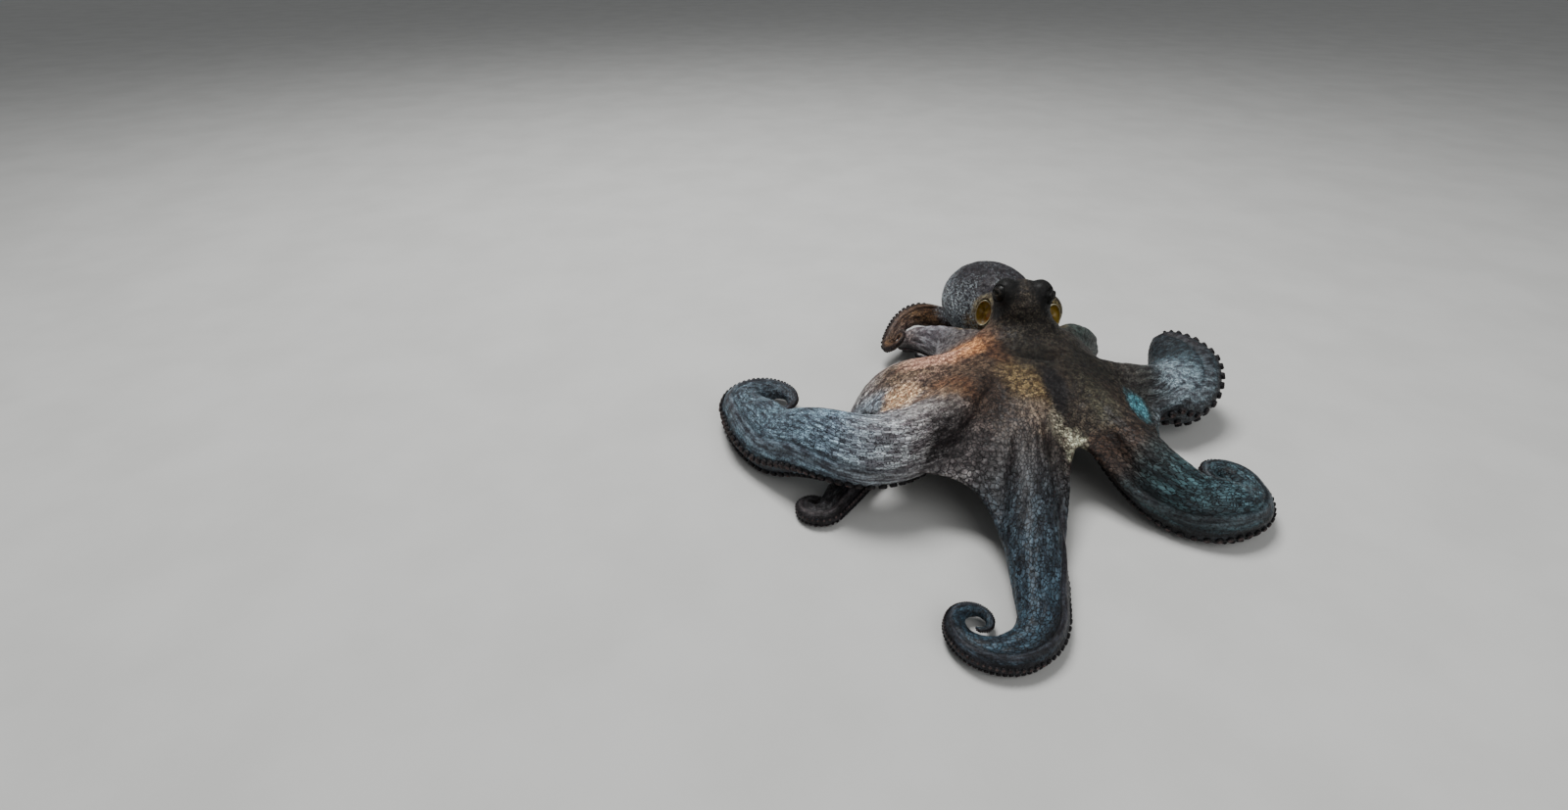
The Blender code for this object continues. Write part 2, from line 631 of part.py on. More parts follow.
def build_free_arms(paths):
    """The middle and end lengths of every arm."""
    for name, path in paths.items():
        first, second = ARMS[name]["cut"]
        total = path["s"][-1]
        loft(name + "_middle", arm_rings(path, first + GAP / 2.0, second - GAP / 2.0, MID_RING_SPACING))
        loft(name + "_end", arm_rings(path, second + GAP / 2.0, total, TIP_RING_SPACING, 8))


def main():
    clear_scene()
    paths = {name: arm_path(arm) for name, arm in ARMS.items()}
    crown = build_crown(paths)
    name_bases(crown, paths)
    build_head()
    build_free_arms(paths)
    blob("mouth", MOUTH_CENTRE, [MOUTH_RADIUS] * 3, 12, 7)
    for obj in bpy.data.objects:
        for vertex in obj.data.vertices:
            vertex.co.x -= ORIGIN_X
            vertex.co.y -= ORIGIN_Y


main()
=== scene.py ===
"""Looks of a common octopus crawling over the sea floor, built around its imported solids.

Metres, +Z up, -Y the way the animal faces, floor at z = 0. Everything is made in the animal's
own frame, whose origin is under the crown, and moved into the row frame at the end. One skin
takes in the arms, webs, head, mantle and suckers; eyes, mantle openings and mouth are pieces.
"""

import math

import bmesh
import bpy
import numpy as np
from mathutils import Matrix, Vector, noise


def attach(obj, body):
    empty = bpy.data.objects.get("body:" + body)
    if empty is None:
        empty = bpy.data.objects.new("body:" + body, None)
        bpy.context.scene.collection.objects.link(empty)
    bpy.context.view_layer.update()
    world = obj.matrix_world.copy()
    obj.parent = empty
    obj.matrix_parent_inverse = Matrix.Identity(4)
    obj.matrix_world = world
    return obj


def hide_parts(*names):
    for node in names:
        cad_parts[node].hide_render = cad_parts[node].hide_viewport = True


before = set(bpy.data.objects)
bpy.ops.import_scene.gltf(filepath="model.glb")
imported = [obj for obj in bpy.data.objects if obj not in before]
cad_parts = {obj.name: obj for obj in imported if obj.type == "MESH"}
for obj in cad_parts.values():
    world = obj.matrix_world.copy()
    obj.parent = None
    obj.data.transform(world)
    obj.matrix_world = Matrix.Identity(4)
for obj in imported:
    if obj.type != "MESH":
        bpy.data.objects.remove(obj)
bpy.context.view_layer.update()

# ---- whole animal
ORIGIN = np.array([-0.0435, -0.0391, 0.0])   # middle of the bounding box, in the animal's own frame
FLOOR_SINK = 0.0004        # how far a resting arm presses into the floor before it is flattened

# ---- arms
PATH_STEP = 0.004
BASE_HALF_DEPTH = 0.018    # half the arm's thickness where it leaves the crown
SWELL_LENGTH = 0.11        # the arm reaches its full thickness this far out
TIP_HALF_DEPTH = 0.0012
SIDE_RATIO = 0.78          # half width across / half depth from back to suckers
RING_POWER = 0.86          # below 1 for a section a little squarer than an ellipse

# Each arm: stations (x, y, z in mm, roll in degrees: 0 suckers down, +90 to the right of travel),
# coil (length, first radius, last radius, +1 left / -1 right, tilt and last roll in degrees),
# deep = half depth where thickest, full = share of the length over which it tapers,
# rest = (settling starts, settled, lift of the tip), root = the length that grows into the crown,
# swell = a longer way out to its full thickness, blunt = below 1 for a rounded end.
ARMS = {
    "right_arm_1": dict(
        stations=[(-11, -28, 70, 0), (-37, -100, 50, -5), (-50, -154, 34, -18), (-60, -198, 22, -45),
                  (-73, -247, 13, -64)],
        coil=(0.144, 0.044, 0.0042, -1, 0, -96), deep=0.0240, full=0.52, rest=(0.17, 0.25, 0.006),
        root=0.195),
    "right_arm_2": dict(
        stations=[(-28, -11, 70, 0), (-104, -86, 59, 0), (-163, -111, 57, -15), (-207, -77, 45, -42),
                  (-238, -37, 22, -62), (-259, 13, 20, -78)],
        coil=(0.118, 0.041, 0.0095, -1, 0, -98), deep=0.0280, full=0.33, rest=(0.245, 0.31, 0.010),
        root=0.170),
    "right_arm_3": dict(
        stations=[(-28, 11, 68, 0), (-80, 4, 52, 0), (-118, 12, 35, -10), (-138, -2, 18, -40),
                  (-151, -42, 12, -70), (-176, -92, 11, -80), (-198, -122, 11, -85)],
        coil=(0.080, 0.0125, 0.0045, -1, 0, -90), deep=0.0218, full=0.50, rest=(0.15, 0.19, 0.0),
        root=0.120),
    "right_arm_4": dict(
        stations=[(-11, 28, 64, 0), (-43, 60, 51, 0), (-58, 97, 39, -20), (-73, 124, 28, -40)],
        coil=(0.110, 0.025, 0.009, -1, 0, -60), deep=0.0215, full=0.9, rest=(0.11, 0.17, 0.0),
        root=0.078),
    "left_arm_1": dict(
        stations=[(11, -28, 70, 0), (32, -64, 56, 0), (50, -115, 40, 8), (71, -150, 26, 30),
                  (92, -162, 18, 46), (119, -162, 18, 62), (137, -148, 18, 76), (143, -129, 18, 84)],
        coil=(0.064, 0.0180, 0.0047, 1, 0, 96), deep=0.0255, full=0.42, rest=(0.14, 0.20, 0.018),
        root=0.140),
    "left_arm_2": dict(
        stations=[(28, -11, 66, 0), (71, -19, 50, 0), (104, -26, 43, 35), (129, -24, 38, 78)],
        coil=(0.098, 0.037, 0.050, 1, 20, 120), deep=0.033, full=0.22, blunt=0.45, swell=0.17, rest=None,
        root=0.104),
    "left_arm_3": dict(
        stations=[(28, 11, 68, 0), (60, 42, 60, 0), (98, 76, 34, 20), (112, 108, 21, 60)],
        coil=(0.120, 0.024, 0.009, 1, 0, 80), deep=0.019, full=0.8, rest=(0.12, 0.17, 0.0),
        root=0.082),
    "left_arm_4": dict(
        stations=[(11, 28, 62, 0), (30, 80, 30, 0), (38, 140, 17, 30), (18, 190, 15, 70),
                  (-20, 172, 24, 108), (-57, 162, 38, 132), (-82, 147, 34, 130), (-98, 127, 24, 120)],
        coil=(0.060, 0.016, 0.005, 1, 40, 115), deep=0.019, full=0.50, rest=None,
        root=0.080),
}

# ---- webs between neighbouring arms, going round from the front: arm, arm, length along each,
# depth of the bay in the free edge, where across it the bay is deepest, how pointed the bay is,
# height held above the arms' axes out to the free edge in half depths
WEB_THICKNESS = 0.0064
WEB_RISE = 0.88            # height of its root above the arm's axis at the crown, in half depths
WEB_EDGE_RISE = 0.62       # how much of that height is kept where a deep bay ends the web early
WEB_SAG = 0.05
WEB_ROWS = 44              # points outward and across
WEB_COLUMNS = 33
WEBS = [
    ("right_arm_1", "left_arm_1", 0.205, 0.165, 0.50, 0.55, 3.0, 0.0),
    ("left_arm_1", "left_arm_2", 0.190, 0.122, 0.26, 0.50, 0.8, 0.0),
    ("left_arm_2", "left_arm_3", 0.095, 0.090, 0.30, 0.50, 0.8, 0.0),
    ("left_arm_3", "left_arm_4", 0.088, 0.086, 0.30, 0.50, 0.8, 0.0),
    ("left_arm_4", "right_arm_4", 0.084, 0.084, 0.30, 0.50, 0.8, 0.0),
    ("right_arm_4", "right_arm_3", 0.084, 0.105, 0.25, 0.50, 0.8, 0.2),
    ("right_arm_3", "right_arm_2", 0.146, 0.176, 0.10, 0.50, 0.8, 0.65),
    ("right_arm_2", "right_arm_1", 0.180, 0.255, 0.29, 0.50, 1.1, 0.0),
]
CROWN_CENTRE = (0.0, 0.0, 0.067)
CROWN_HALF = (0.040, 0.040, 0.019)
SHOULDERS = [              # centre and half sizes of the swellings that carry the head's base outward
    ((0.003, 0.024, 0.084), (0.034, 0.026, 0.019)),
    ((0.002, 0.012, 0.080), (0.048, 0.036, 0.012)),
]

# ---- head (centred on its own axis, which leans to the right, then turned) and mantle
HEAD_AXIS_Y = 0.032
HEAD_YAW = math.radians(-13.0)
HEAD_LEAN = -0.13          # sideways shift of the head's axis for each metre up
HEAD_LEAN_FROM = 0.1120    # height at which the axis is on the animal's middle plane
HEAD_BLOBS = [             # centre and half sizes, from the head's axis
    ((0.0, 0.000, 0.082), (0.029, 0.027, 0.034)),
    ((0.0, 0.000, 0.105), (0.0250, 0.023, 0.027)),
]
BROW_CENTRE = (0.0150, -0.002, 0.1190)  # swelling that holds the eye
BROW_HALF = (0.0126, 0.0140, 0.0145)
POCKET_CENTRE = (0.031, 0.036, 0.086)   # edge of the mantle round each opening
POCKET_HALF = (0.0125, 0.0170, 0.0165)
NECK_CENTRE = (0.002, 0.060, 0.088)
NECK_HALF = (0.029, 0.030, 0.025)
MANTLE_CENTRE = (0.001, 0.118, 0.072)
MANTLE_HALF = (0.044, 0.063, 0.041)
MANTLE_TILT = math.radians(-14.0)

EYE_RADIUS = 0.0088
EYE_CENTRE = (0.0184, -0.0055, 0.1205)
CUP_CENTRE = (0.0325, 0.0215, 0.0875)  # funnel-like openings of the mantle beside the head
CUP_FACING = (0.35, -0.90, 0.30)
CUP_HALF = np.array([0.0078, 0.0128])  # across and up
CUP_LENGTH = 0.012
MOUTH_CENTRE = (0.0, 0.002, 0.0475)
MOUTH_RADIUS = 0.0125

SKIN_VOXEL, SKIN_SMOOTHING = 0.00105, 5
BODY_VOXEL, BODY_SMOOTHING = 0.0020, 13
TRUNK_VOXEL, TRUNK_SMOOTHING = 0.0015, 18
COLLAR_SMOOTHING = 80
ROOT_EXTRA = 0.03          # how much farther an arm's root runs into its middle length
FLESH_NODES = [f"{side}_arm_{k}_{part}" for side in ("right", "left") for k in (1, 2, 3, 4)
               for part in ("base", "middle", "end")] + ["head", "mantle"]


def ease(t):
    """A smooth rise from 0 to 1 as t goes from 0 to 1."""
    t = np.clip(t, 0.0, 1.0)
    return t * t * (3.0 - 2.0 * t)


def smoothstep(low, high, value):
    return ease((value - low) / (high - low))


def unit(vectors):
    """The same directions, one unit long."""
    vectors = np.asarray(vectors, float)
    return vectors / np.linalg.norm(vectors, axis=-1, keepdims=True)


def circle(count):
    """Cosine and sine at even steps round a circle."""
    turn = 2.0 * math.pi * np.arange(count) / count
    return np.cos(turn), np.sin(turn)


def chord_lengths(points):
    """Distance of each point from the first, along the line they make."""
    return np.concatenate([[0.0], np.cumsum(np.linalg.norm(np.diff(points, axis=0), axis=1))])


# ---------------------------------------------------------------- arm paths
def natural_spline(stations):
    """An evenly stepped natural cubic spline through rows of x, y, z, roll."""
    rows = np.array(stations, float)
    rows[:, :3] /= 1000.0
    n = len(rows)
    knots = chord_lengths(rows[:, :3])
    gaps = np.diff(knots)
    matrix = np.eye(n)
    right = np.zeros((n, 4))
    for i in range(1, n - 1):
        matrix[i, i - 1:i + 2] = gaps[i - 1], 2.0 * (gaps[i - 1] + gaps[i]), gaps[i]
        right[i] = 6.0 * ((rows[i + 1] - rows[i]) / gaps[i] - (rows[i] - rows[i - 1]) / gaps[i - 1])
    bend = np.linalg.solve(matrix, right)
    t = np.linspace(0.0, knots[-1], 2000)
    k = np.clip(np.searchsorted(knots, t, side="right") - 1, 0, n - 2)
    ahead, behind, gap = (v[:, None] for v in (knots[k + 1] - t, t - knots[k], gaps[k]))
    fine = ((bend[k] * ahead ** 3 + bend[k + 1] * behind ** 3) / (6.0 * gap)
            + (rows[k] / gap - bend[k] * gap / 6.0) * ahead
            + (rows[k + 1] / gap - bend[k + 1] * gap / 6.0) * behind)
    length = chord_lengths(fine[:, :3])
    even = np.linspace(0.0, length[-1], round(length[-1] / PATH_STEP) + 1)
    return np.stack([np.interp(even, length, column) for column in fine.T], axis=1)


def half_sizes(s, total, arm):
    """Half depth and half width of the arm at the distance s along it."""
    left = np.clip(1.0 - s / total, 0.0, 1.0)
    taper = np.minimum(1.0, left / arm["full"]) ** arm.get("blunt", 1.0)
    deep = TIP_HALF_DEPTH + (arm["deep"] - TIP_HALF_DEPTH) * taper
    deep = BASE_HALF_DEPTH + (deep - BASE_HALF_DEPTH) * ease(s / arm.get("swell", SWELL_LENGTH))
    return deep, deep * SIDE_RATIO


def arm_path(arm):
    """Distances, points, tangents, directions of the suckers and half sizes along an arm."""
    line = natural_spline(arm["stations"])
    points, rolls = list(line[:, :3]), list(line[:, 3])
    up = np.array([0.0, 0.0, 1.0])
    ups = [up] * len(points)
    heading = unit(points[-1] - points[-2])
    length, first, last, sense, tilt, last_roll = arm["coil"]
    level = unit(up - heading * heading[2])
    tilt = math.radians(tilt)
    normal = level * math.cos(tilt) + np.cross(heading, level) * math.sin(tilt)
    count = round(length / PATH_STEP)
    for i in range(count):
        turn = sense * PATH_STEP / (first + (last - first) * (i + 0.5) / count)
        heading = heading * math.cos(turn) + np.cross(normal, heading) * math.sin(turn)
        points.append(points[-1] + heading * PATH_STEP)
        rolls.append(line[-1, 3] + (last_roll - line[-1, 3]) * ease((i + 1.0) / (0.6 * count)))
        ups.append(normal)
    points = np.array(points)
    s = np.arange(len(points)) * PATH_STEP
    roll = np.radians(rolls)
    deep, wide = half_sizes(s, s[-1], arm)
    if arm["rest"]:
        start, settled, lift = arm["rest"]
        height = np.hypot(np.cos(roll) * deep, np.sin(roll) * wide) - FLOOR_SINK
        height = height + lift * ease((s - settled) / (s[-1] - settled))
        share = ease((s - start) / (settled - start))
        points[:, 2] = points[:, 2] * (1.0 - share) + height * share
    tangents = unit(np.gradient(points, axis=0))
    ups = np.array(ups)
    ups = unit(ups - tangents * (ups * tangents).sum(axis=1)[:, None])
    right = np.cross(tangents, ups)
    oral = -ups * np.cos(roll)[:, None] + right * np.sin(roll)[:, None]
    return dict(s=s, points=points, tangents=tangents, oral=oral, deep=deep, wide=wide)


def at(path, key, s):
    """A path's value at distances s, directions made unit length again."""
    s = np.atleast_1d(s)
    table = path[key]
    if table.ndim == 1:
        return np.interp(s, path["s"], table)
    found = np.stack([np.interp(s, path["s"], column) for column in table.T], axis=1)
    return found if key == "points" else unit(found)


def turned(points, yaw, about):
    """Points turned about an upright axis."""
    c, s = math.cos(yaw), math.sin(yaw)
    matrix = np.array([[c, -s, 0.0], [s, c, 0.0], [0.0, 0.0, 1.0]])
    return (np.asarray(points, float) - about) @ matrix.T + about


HEAD_AXIS = np.array([0.0, HEAD_AXIS_Y, 0.0])


def in_head(point, side=1):
    """A point given from the head's axis, in the animal's frame."""
    x, y, z = point
    lean = HEAD_LEAN * (z - HEAD_LEAN_FROM)
    return turned([side * x + lean, y + HEAD_AXIS_Y, z], HEAD_YAW, HEAD_AXIS)


def head_direction(vector, side=1):
    """A direction given in the head's own frame, in the animal's."""
    return unit(turned(np.array(vector) * [side, 1.0, 1.0], HEAD_YAW, np.zeros(3)))


def ring_shape(count):
    """Cross-section of an arm of unit size, as (across, towards the suckers)."""
    angle = 2.0 * math.pi * (np.arange(count) + 0.5) / count
    return (np.sign(v) * np.abs(v) ** RING_POWER for v in (np.cos(angle), np.sin(angle)))


def arm_rings(path, end, spacing, points):
    """Cross-sections of an arm from its root to a distance, never below the floor."""
    s = np.linspace(0.0, end, max(2, round(end / spacing) + 1))
    oral = at(path, "oral", s)[:, None]
    side = np.cross(at(path, "tangents", s)[:, None], oral)
    across, down = (v[:, None] for v in ring_shape(points))
    wide, deep = (at(path, key, s)[:, None, None] for key in ("wide", "deep"))
    rings = at(path, "points", s)[:, None] + side * wide * across + oral * deep * down
    rings[:, :, 2] = np.maximum(rings[:, :, 2], 0.0)
    return rings


# ---------------------------------------------------------------- meshes
def in_scene(name, data):
    obj = bpy.data.objects.new(name, data)
    bpy.context.scene.collection.objects.link(obj)
    return obj


def plain_object(name, vertices, faces):
    """An object from an array of points and a list of faces."""
    mesh = bpy.data.meshes.new(name)
    mesh.from_pydata(np.asarray(vertices, float).tolist(), [], faces)
    return in_scene(name, mesh)


def mesh_object(name, vertices, faces):
    """The same, with its faces turned outward."""
    obj = plain_object(name, vertices, faces)
    work = bmesh.new()
    work.from_mesh(obj.data)
    bmesh.ops.recalc_face_normals(work, faces=work.faces)
    if work.calc_volume(signed=True) < 0.0:
        bmesh.ops.reverse_faces(work, faces=work.faces)
    work.to_mesh(obj.data)
    work.free()
    return obj


def points_of(obj, key="co"):
    """The object's vertices, or with the key "normal" their normals."""
    found = np.empty(len(obj.data.vertices) * 3, np.float32)
    obj.data.vertices.foreach_get(key, found)
    return found.reshape(-1, 3).astype(float)


def set_points(obj, points):
    obj.data.vertices.foreach_set("co", np.asarray(points, np.float32).reshape(-1))
    obj.data.update()


def ring_faces(count, around, looped=False):
    """Quads between neighbouring rings of equal point count, and from last to first if looped."""
    faces = []
    for r in range(count if looped else count - 1):
        row, following = r * around, (r + 1) % count * around
        for i in range(around):
            j = (i + 1) % around
            faces.append((row + i, row + j, following + j, following + i))
    return faces


def loft(name, rings):
    """A closed skin over rings of equal point count, with a fan over each end."""
    rings = np.asarray(rings)
    count, around, _ = rings.shape
    vertices = np.concatenate([rings.reshape(-1, 3), rings[[0, -1]].mean(axis=1)])
    faces = ring_faces(count, around)
    for centre, row in ((count * around, 0), (count * around + 1, (count - 1) * around)):
        faces += [(centre, row + i, row + (i + 1) % around) for i in range(around)]
    return mesh_object(name, vertices, faces)


def ball(segments, rings):
    """Points and faces of a ball of unit radius."""
    work = bmesh.new()
    bmesh.ops.create_uvsphere(work, u_segments=segments, v_segments=rings, radius=1.0)
    points = np.array([v.co for v in work.verts])
    faces = [tuple(v.index for v in f.verts) for f in work.faces]
    work.free()
    return points, faces


def blob(name, centre, half, yaw=0.0, pitch=0.0, segments=56, rings=36):
    """An ellipsoid pitched about +X and turned about +Z."""
    points, faces = ball(segments, rings)
    c, s = math.cos(pitch), math.sin(pitch)
    points = (points * half) @ np.array([[1.0, 0.0, 0.0], [0.0, c, -s], [0.0, s, c]]).T
    return mesh_object(name, turned(points, yaw, np.zeros(3)) + centre, faces)


def joined(name, pieces):
    """One mesh that holds every piece; the pieces go."""
    vertices, faces, start = [], [], 0
    for piece in pieces:
        vertices.append(points_of(piece))
        faces += [tuple(start + i for i in f.vertices) for f in piece.data.polygons]
        start += len(piece.data.vertices)
        bpy.data.objects.remove(piece, do_unlink=True)
    return plain_object(name, np.concatenate(vertices), faces)


def reshaped(obj, kind, **settings):
    """The object with a modifier of this kind worked into its mesh."""
    modifier = obj.modifiers.new(kind, kind)
    for key, value in settings.items():
        setattr(modifier, key, value)
    graph = bpy.context.evaluated_depsgraph_get()
    mesh = bpy.data.meshes.new_from_object(obj.evaluated_get(graph))
    obj.modifiers.clear()
    obj.data = mesh
    return obj


def grown_together(obj, voxel, smoothing):
    """Turns overlapping closed bodies into one even skin and softens it."""
    reshaped(obj, "REMESH", mode="VOXEL", voxel_size=voxel)
    return reshaped(obj, "SMOOTH", factor=0.5, iterations=smoothing)


def carve(obj, cutter):
    reshaped(obj, "BOOLEAN", operation="DIFFERENCE", solver="EXACT", object=cutter)
    bpy.data.objects.remove(cutter, do_unlink=True)


def frame_along(direction):
    """A matrix whose third column is the direction and whose first is level."""
    third = unit(direction)
    first = unit(np.cross([0.0, 0.0, 1.0], third))
    return np.stack([first, np.cross(third, first), third], axis=1)


def oval(half, height, count):
    """A ring of points round an ellipse with the given half sizes, at a height."""
    cosine, sine = circle(count)
    return np.stack([half[0] * cosine, half[1] * sine, np.full(count, height)], axis=1)


# ---------------------------------------------------------------- body and trunk
def web_root(path, u, u_edge, reach, hold):
    """Where a web leaves an arm: high on its back near the crown, at mid height by the free edge."""
    edge = np.maximum(hold, WEB_EDGE_RISE * (1.0 - ease(u_edge)))
    rise = edge + (WEB_RISE - edge) * (1.0 - ease(u / u_edge) ** 2)
    s = u.ravel() * reach
    lifted = at(path, "oral", s) * (rise.ravel() * at(path, "deep", s))[:, None]
    return (at(path, "points", s) - lifted).reshape(*u.shape, 3)


def web_sheet(first, second, web):
    """A tent of skin between two arms, bayed in at its free edge and a few mm thick."""
    reach_a, reach_b, bay, deepest, point, hold = web
    v = np.linspace(0.0, 1.0, WEB_COLUMNS)
    arch = 1.0 - (1.0 - np.minimum(v / deepest, (1.0 - v) / (1.0 - deepest))) ** 2
    u_edge = 1.0 - bay * arch ** point
    u = np.linspace(0.0, 1.0, WEB_ROWS)[:, None] * u_edge
    a = web_root(first, u, u_edge, reach_a, hold)
    b = web_root(second, u, u_edge, reach_b, hold)
    grid = a * (1.0 - v)[:, None] + b * v[:, None]
    grid[:, :, 2] -= WEB_SAG * (1.0 - hold) * arch * u * np.linalg.norm(a - b, axis=2)
    normal = np.cross(np.gradient(grid, axis=1), np.gradient(grid, axis=0))
    normal /= np.maximum(np.linalg.norm(normal, axis=2), 1e-9)[:, :, None]
    half = normal * WEB_THICKNESS / 2.0
    vertices = np.concatenate([(grid + half).reshape(-1, 3), (grid - half).reshape(-1, 3)])
    k = np.arange(u.size).reshape(u.shape)
    quads = np.stack([k[:-1, :-1], k[:-1, 1:], k[1:, 1:], k[1:, :-1]], axis=-1).reshape(-1, 4)
    rim = np.concatenate([k[0], k[1:, -1], k[-1, -2::-1], k[-2:0:-1, 0]])
    after = np.roll(rim, -1)
    sides = np.stack([rim, u.size + rim, u.size + after, after], axis=1)
    faces = np.concatenate([quads, u.size + quads[:, [0, 3, 2, 1]], sides])
    return mesh_object("web", vertices, faces.tolist())


def build_body(paths):
    """Crown, arm roots and webs, with soft creases between them."""
    centre, half = HEAD_BLOBS[0]
    pieces = [blob("crown", CROWN_CENTRE, CROWN_HALF), blob("column", in_head(centre), half, yaw=HEAD_YAW)]
    pieces += [blob("shoulder", *shoulder) for shoulder in SHOULDERS]
    for name, path in paths.items():
        pieces.append(loft("root", arm_rings(path, ARMS[name]["root"] + ROOT_EXTRA, 0.004, 32)))
    pieces += [web_sheet(paths[one], paths[other], web) for one, other, *web in WEBS]
    return grown_together(joined("body", pieces), BODY_VOXEL, BODY_SMOOTHING)


CREST_CENTRE = (0.0, -0.002, 0.1185)  # the level top of the head between the eyes
CREST_HALF = (0.0200, 0.0125, 0.0125)

COLLAR_FROM, COLLAR_TO = (0.074, 0.084), (0.098, 0.108)  # heights where softening sets in and ends
COLLAR_OUT, COLLAR_Y = (0.060, 0.075), 0.01              # distance from its middle, and where that is
COLLAR_CLEAR = (0.016, 0.024)                            # distance kept from the mantle openings

LID_TUBE = 0.0011
LID_HALF = (0.60, 0.30)    # half opening of the lids, in radians across and up
EYE_FACING = (0.80, -0.52, 0.30)


def eye_frame(side):
    return frame_along(head_direction(EYE_FACING, side))


def cup_frame(side):
    """Axes and place of a mantle opening."""
    return frame_along(head_direction(CUP_FACING, side)), in_head(CUP_CENTRE, side)


def lid(side):
    """A rounded rim of skin that follows the eye's opening over the eyeball."""
    count, around = 56, 14
    cosine, sine = (v[:, None] for v in circle(around))
    rings = []
    for c, s in zip(*circle(count)):
        a, b = LID_HALF[0] * c, LID_HALF[1] * s
        out = unit([math.sin(a), math.sin(b), math.cos(a) * math.cos(b)])
        edge = np.array([-s * LID_HALF[0], c * LID_HALF[1], 0.0])
        wide = np.cross(unit(edge - out * (edge @ out)), out)
        tube = LID_TUBE * (1.25 if s > 0.0 else 0.95)
        rings.append(out * (EYE_RADIUS + 0.0003) + tube * (cosine * out + sine * wide))
    points = np.array(rings) @ eye_frame(side).T + in_head(EYE_CENTRE, side)
    return mesh_object("lid", points.reshape(-1, 3), ring_faces(count, around, looped=True))


def opening_cutter(side):
    """The space between the lids, from the eyeball outward."""
    bed = eye_frame(side)
    middle = in_head(EYE_CENTRE, side) + bed[:, 2] * (EYE_RADIUS + 0.001)
    half = EYE_RADIUS * np.sin(LID_HALF)
    stations = ((-0.004, 0.85), (0.0, 1.0), (0.010, 1.25))      # height, share of the opening's size
    rings = np.array([oval(half * share, height, 32) for height, share in stations])
    return loft("cutter", rings @ bed.T + middle)


def cup_bed(side):
    """The hollow a mantle opening sits in, open to the outer side."""
    bed, place = cup_frame(side)
    stations = ((-CUP_LENGTH - 0.0005, 0.62), (-0.62 * CUP_LENGTH, 0.88), (-0.25 * CUP_LENGTH, 1.0),
                (0.0, 1.06), (CUP_LENGTH, 1.2))
    rings = np.array([oval(CUP_HALF * share, height, 40) for height, share in stations])
    return loft("bed", rings @ bed.T + place)


def build_trunk():
    """Head, neck and mantle, with eye sockets and beds for the mantle openings."""
    lumps = HEAD_BLOBS + [(CREST_CENTRE, CREST_HALF)]
    pieces = [blob("head", in_head(centre), half, yaw=HEAD_YAW) for centre, half in lumps]
    pieces += [blob("neck", centre, half) for centre, half in SHOULDERS + [(NECK_CENTRE, NECK_HALF)]]
    pieces.append(blob("mantle", MANTLE_CENTRE, MANTLE_HALF, pitch=MANTLE_TILT, segments=80, rings=50))
    for side in (-1, 1):
        for centre, half in ((BROW_CENTRE, BROW_HALF), (POCKET_CENTRE, POCKET_HALF)):
            pieces.append(blob("swelling", in_head(centre, side), half, yaw=HEAD_YAW))
    trunk = grown_together(joined("trunk", pieces), TRUNK_VOXEL, TRUNK_SMOOTHING)
    for side in (-1, 1):
        carve(trunk, blob("socket", in_head(EYE_CENTRE, side), [EYE_RADIUS + 0.0002] * 3))
        carve(trunk, opening_cutter(side))
        carve(trunk, cup_bed(side))
    return trunk


def soften_collar(obj):
    """Runs the head's base smoothly out into the crown, clear of eyes and openings."""
    points = points_of(obj)
    x, y, z = points.T
    weight = smoothstep(*COLLAR_FROM, z) * (1.0 - smoothstep(*COLLAR_TO, z))
    weight *= 1.0 - smoothstep(*COLLAR_OUT, np.hypot(x, y - COLLAR_Y))
    for side in (-1, 1):
        away = np.linalg.norm(points - in_head(CUP_CENTRE, side), axis=1)
        weight *= smoothstep(*COLLAR_CLEAR, away)
    group = obj.vertex_groups.new(name="collar")
    for i in np.flatnonzero(weight > 0.01):
        group.add([int(i)], float(weight[i]), "REPLACE")
    reshaped(obj, "SMOOTH", factor=0.5, iterations=COLLAR_SMOOTHING, vertex_group="collar")
    obj.vertex_groups.clear()
    return obj


def build_flesh(paths):
    """All the animal's flesh as one even skin."""
    pieces = [build_body(paths), build_trunk()]
    pieces += [loft("arm", arm_rings(path, path["s"][-1], 0.0025, 44)) for path in paths.values()]
    pieces += [lid(side) for side in (-1, 1)]
    return soften_collar(grown_together(joined("skin", pieces), SKIN_VOXEL, SKIN_SMOOTHING))


# ---------------------------------------------------------------- where each point lies on the animal
CHUNK = 20000              # points looked at together
ARM_BLEND = 0.007          # width over which the tones of two arms run into each other

# Each pair below is where something begins and where it is complete.
HEAD_UP = (0.080, 0.097)      # height
HEAD_BACK = (0.052, 0.074)    # distance back at which the head ends
MANTLE_BACK = (0.060, 0.078)  # distance back and height at which the neck belongs to the mantle
MANTLE_UP = (0.070, 0.085)
MANTLE_OUT = (1.08, 1.35)     # in the mantle's size
ARM_OUT = (1.12, 1.45)        # in the arm's size
ARM_ALONG = (0.040, 0.080)    # distance along the arm
ARM_FREE = (0.050, 0.110)     # the same, for what needs a free arm


def srgb(red, green, blue):
    """A colour given as 0-255 display values, as linear light."""
    value = np.array([red, green, blue], float) / 255.0
    return np.where(value <= 0.04045, value / 12.92, ((value + 0.055) / 1.055) ** 2.4)


def locate(points, paths):
    """For every point: its distance to each arm's axis, and how far along that axis it is."""
    apart, along = np.zeros((2, len(points), len(paths)))
    for start in range(0, len(points), CHUNK):
        rows = slice(start, start + CHUNK)
        chunk = points[rows]
        for k, path in enumerate(paths.values()):
            axis = path["points"]
            square = (chunk ** 2).sum(1)[:, None] + (axis ** 2).sum(1) - 2.0 * chunk @ axis.T
            nearest = square.argmin(axis=1)
            tangent = path["tangents"][nearest]
            rel = chunk - axis[nearest]
            step = np.clip((rel * tangent).sum(1), -PATH_STEP, PATH_STEP)
            apart[rows, k] = np.linalg.norm(rel - tangent * step[:, None], axis=1)
            along[rows, k] = np.clip(path["s"][nearest] + step, 0.0, path["s"][-1])
    return apart, along


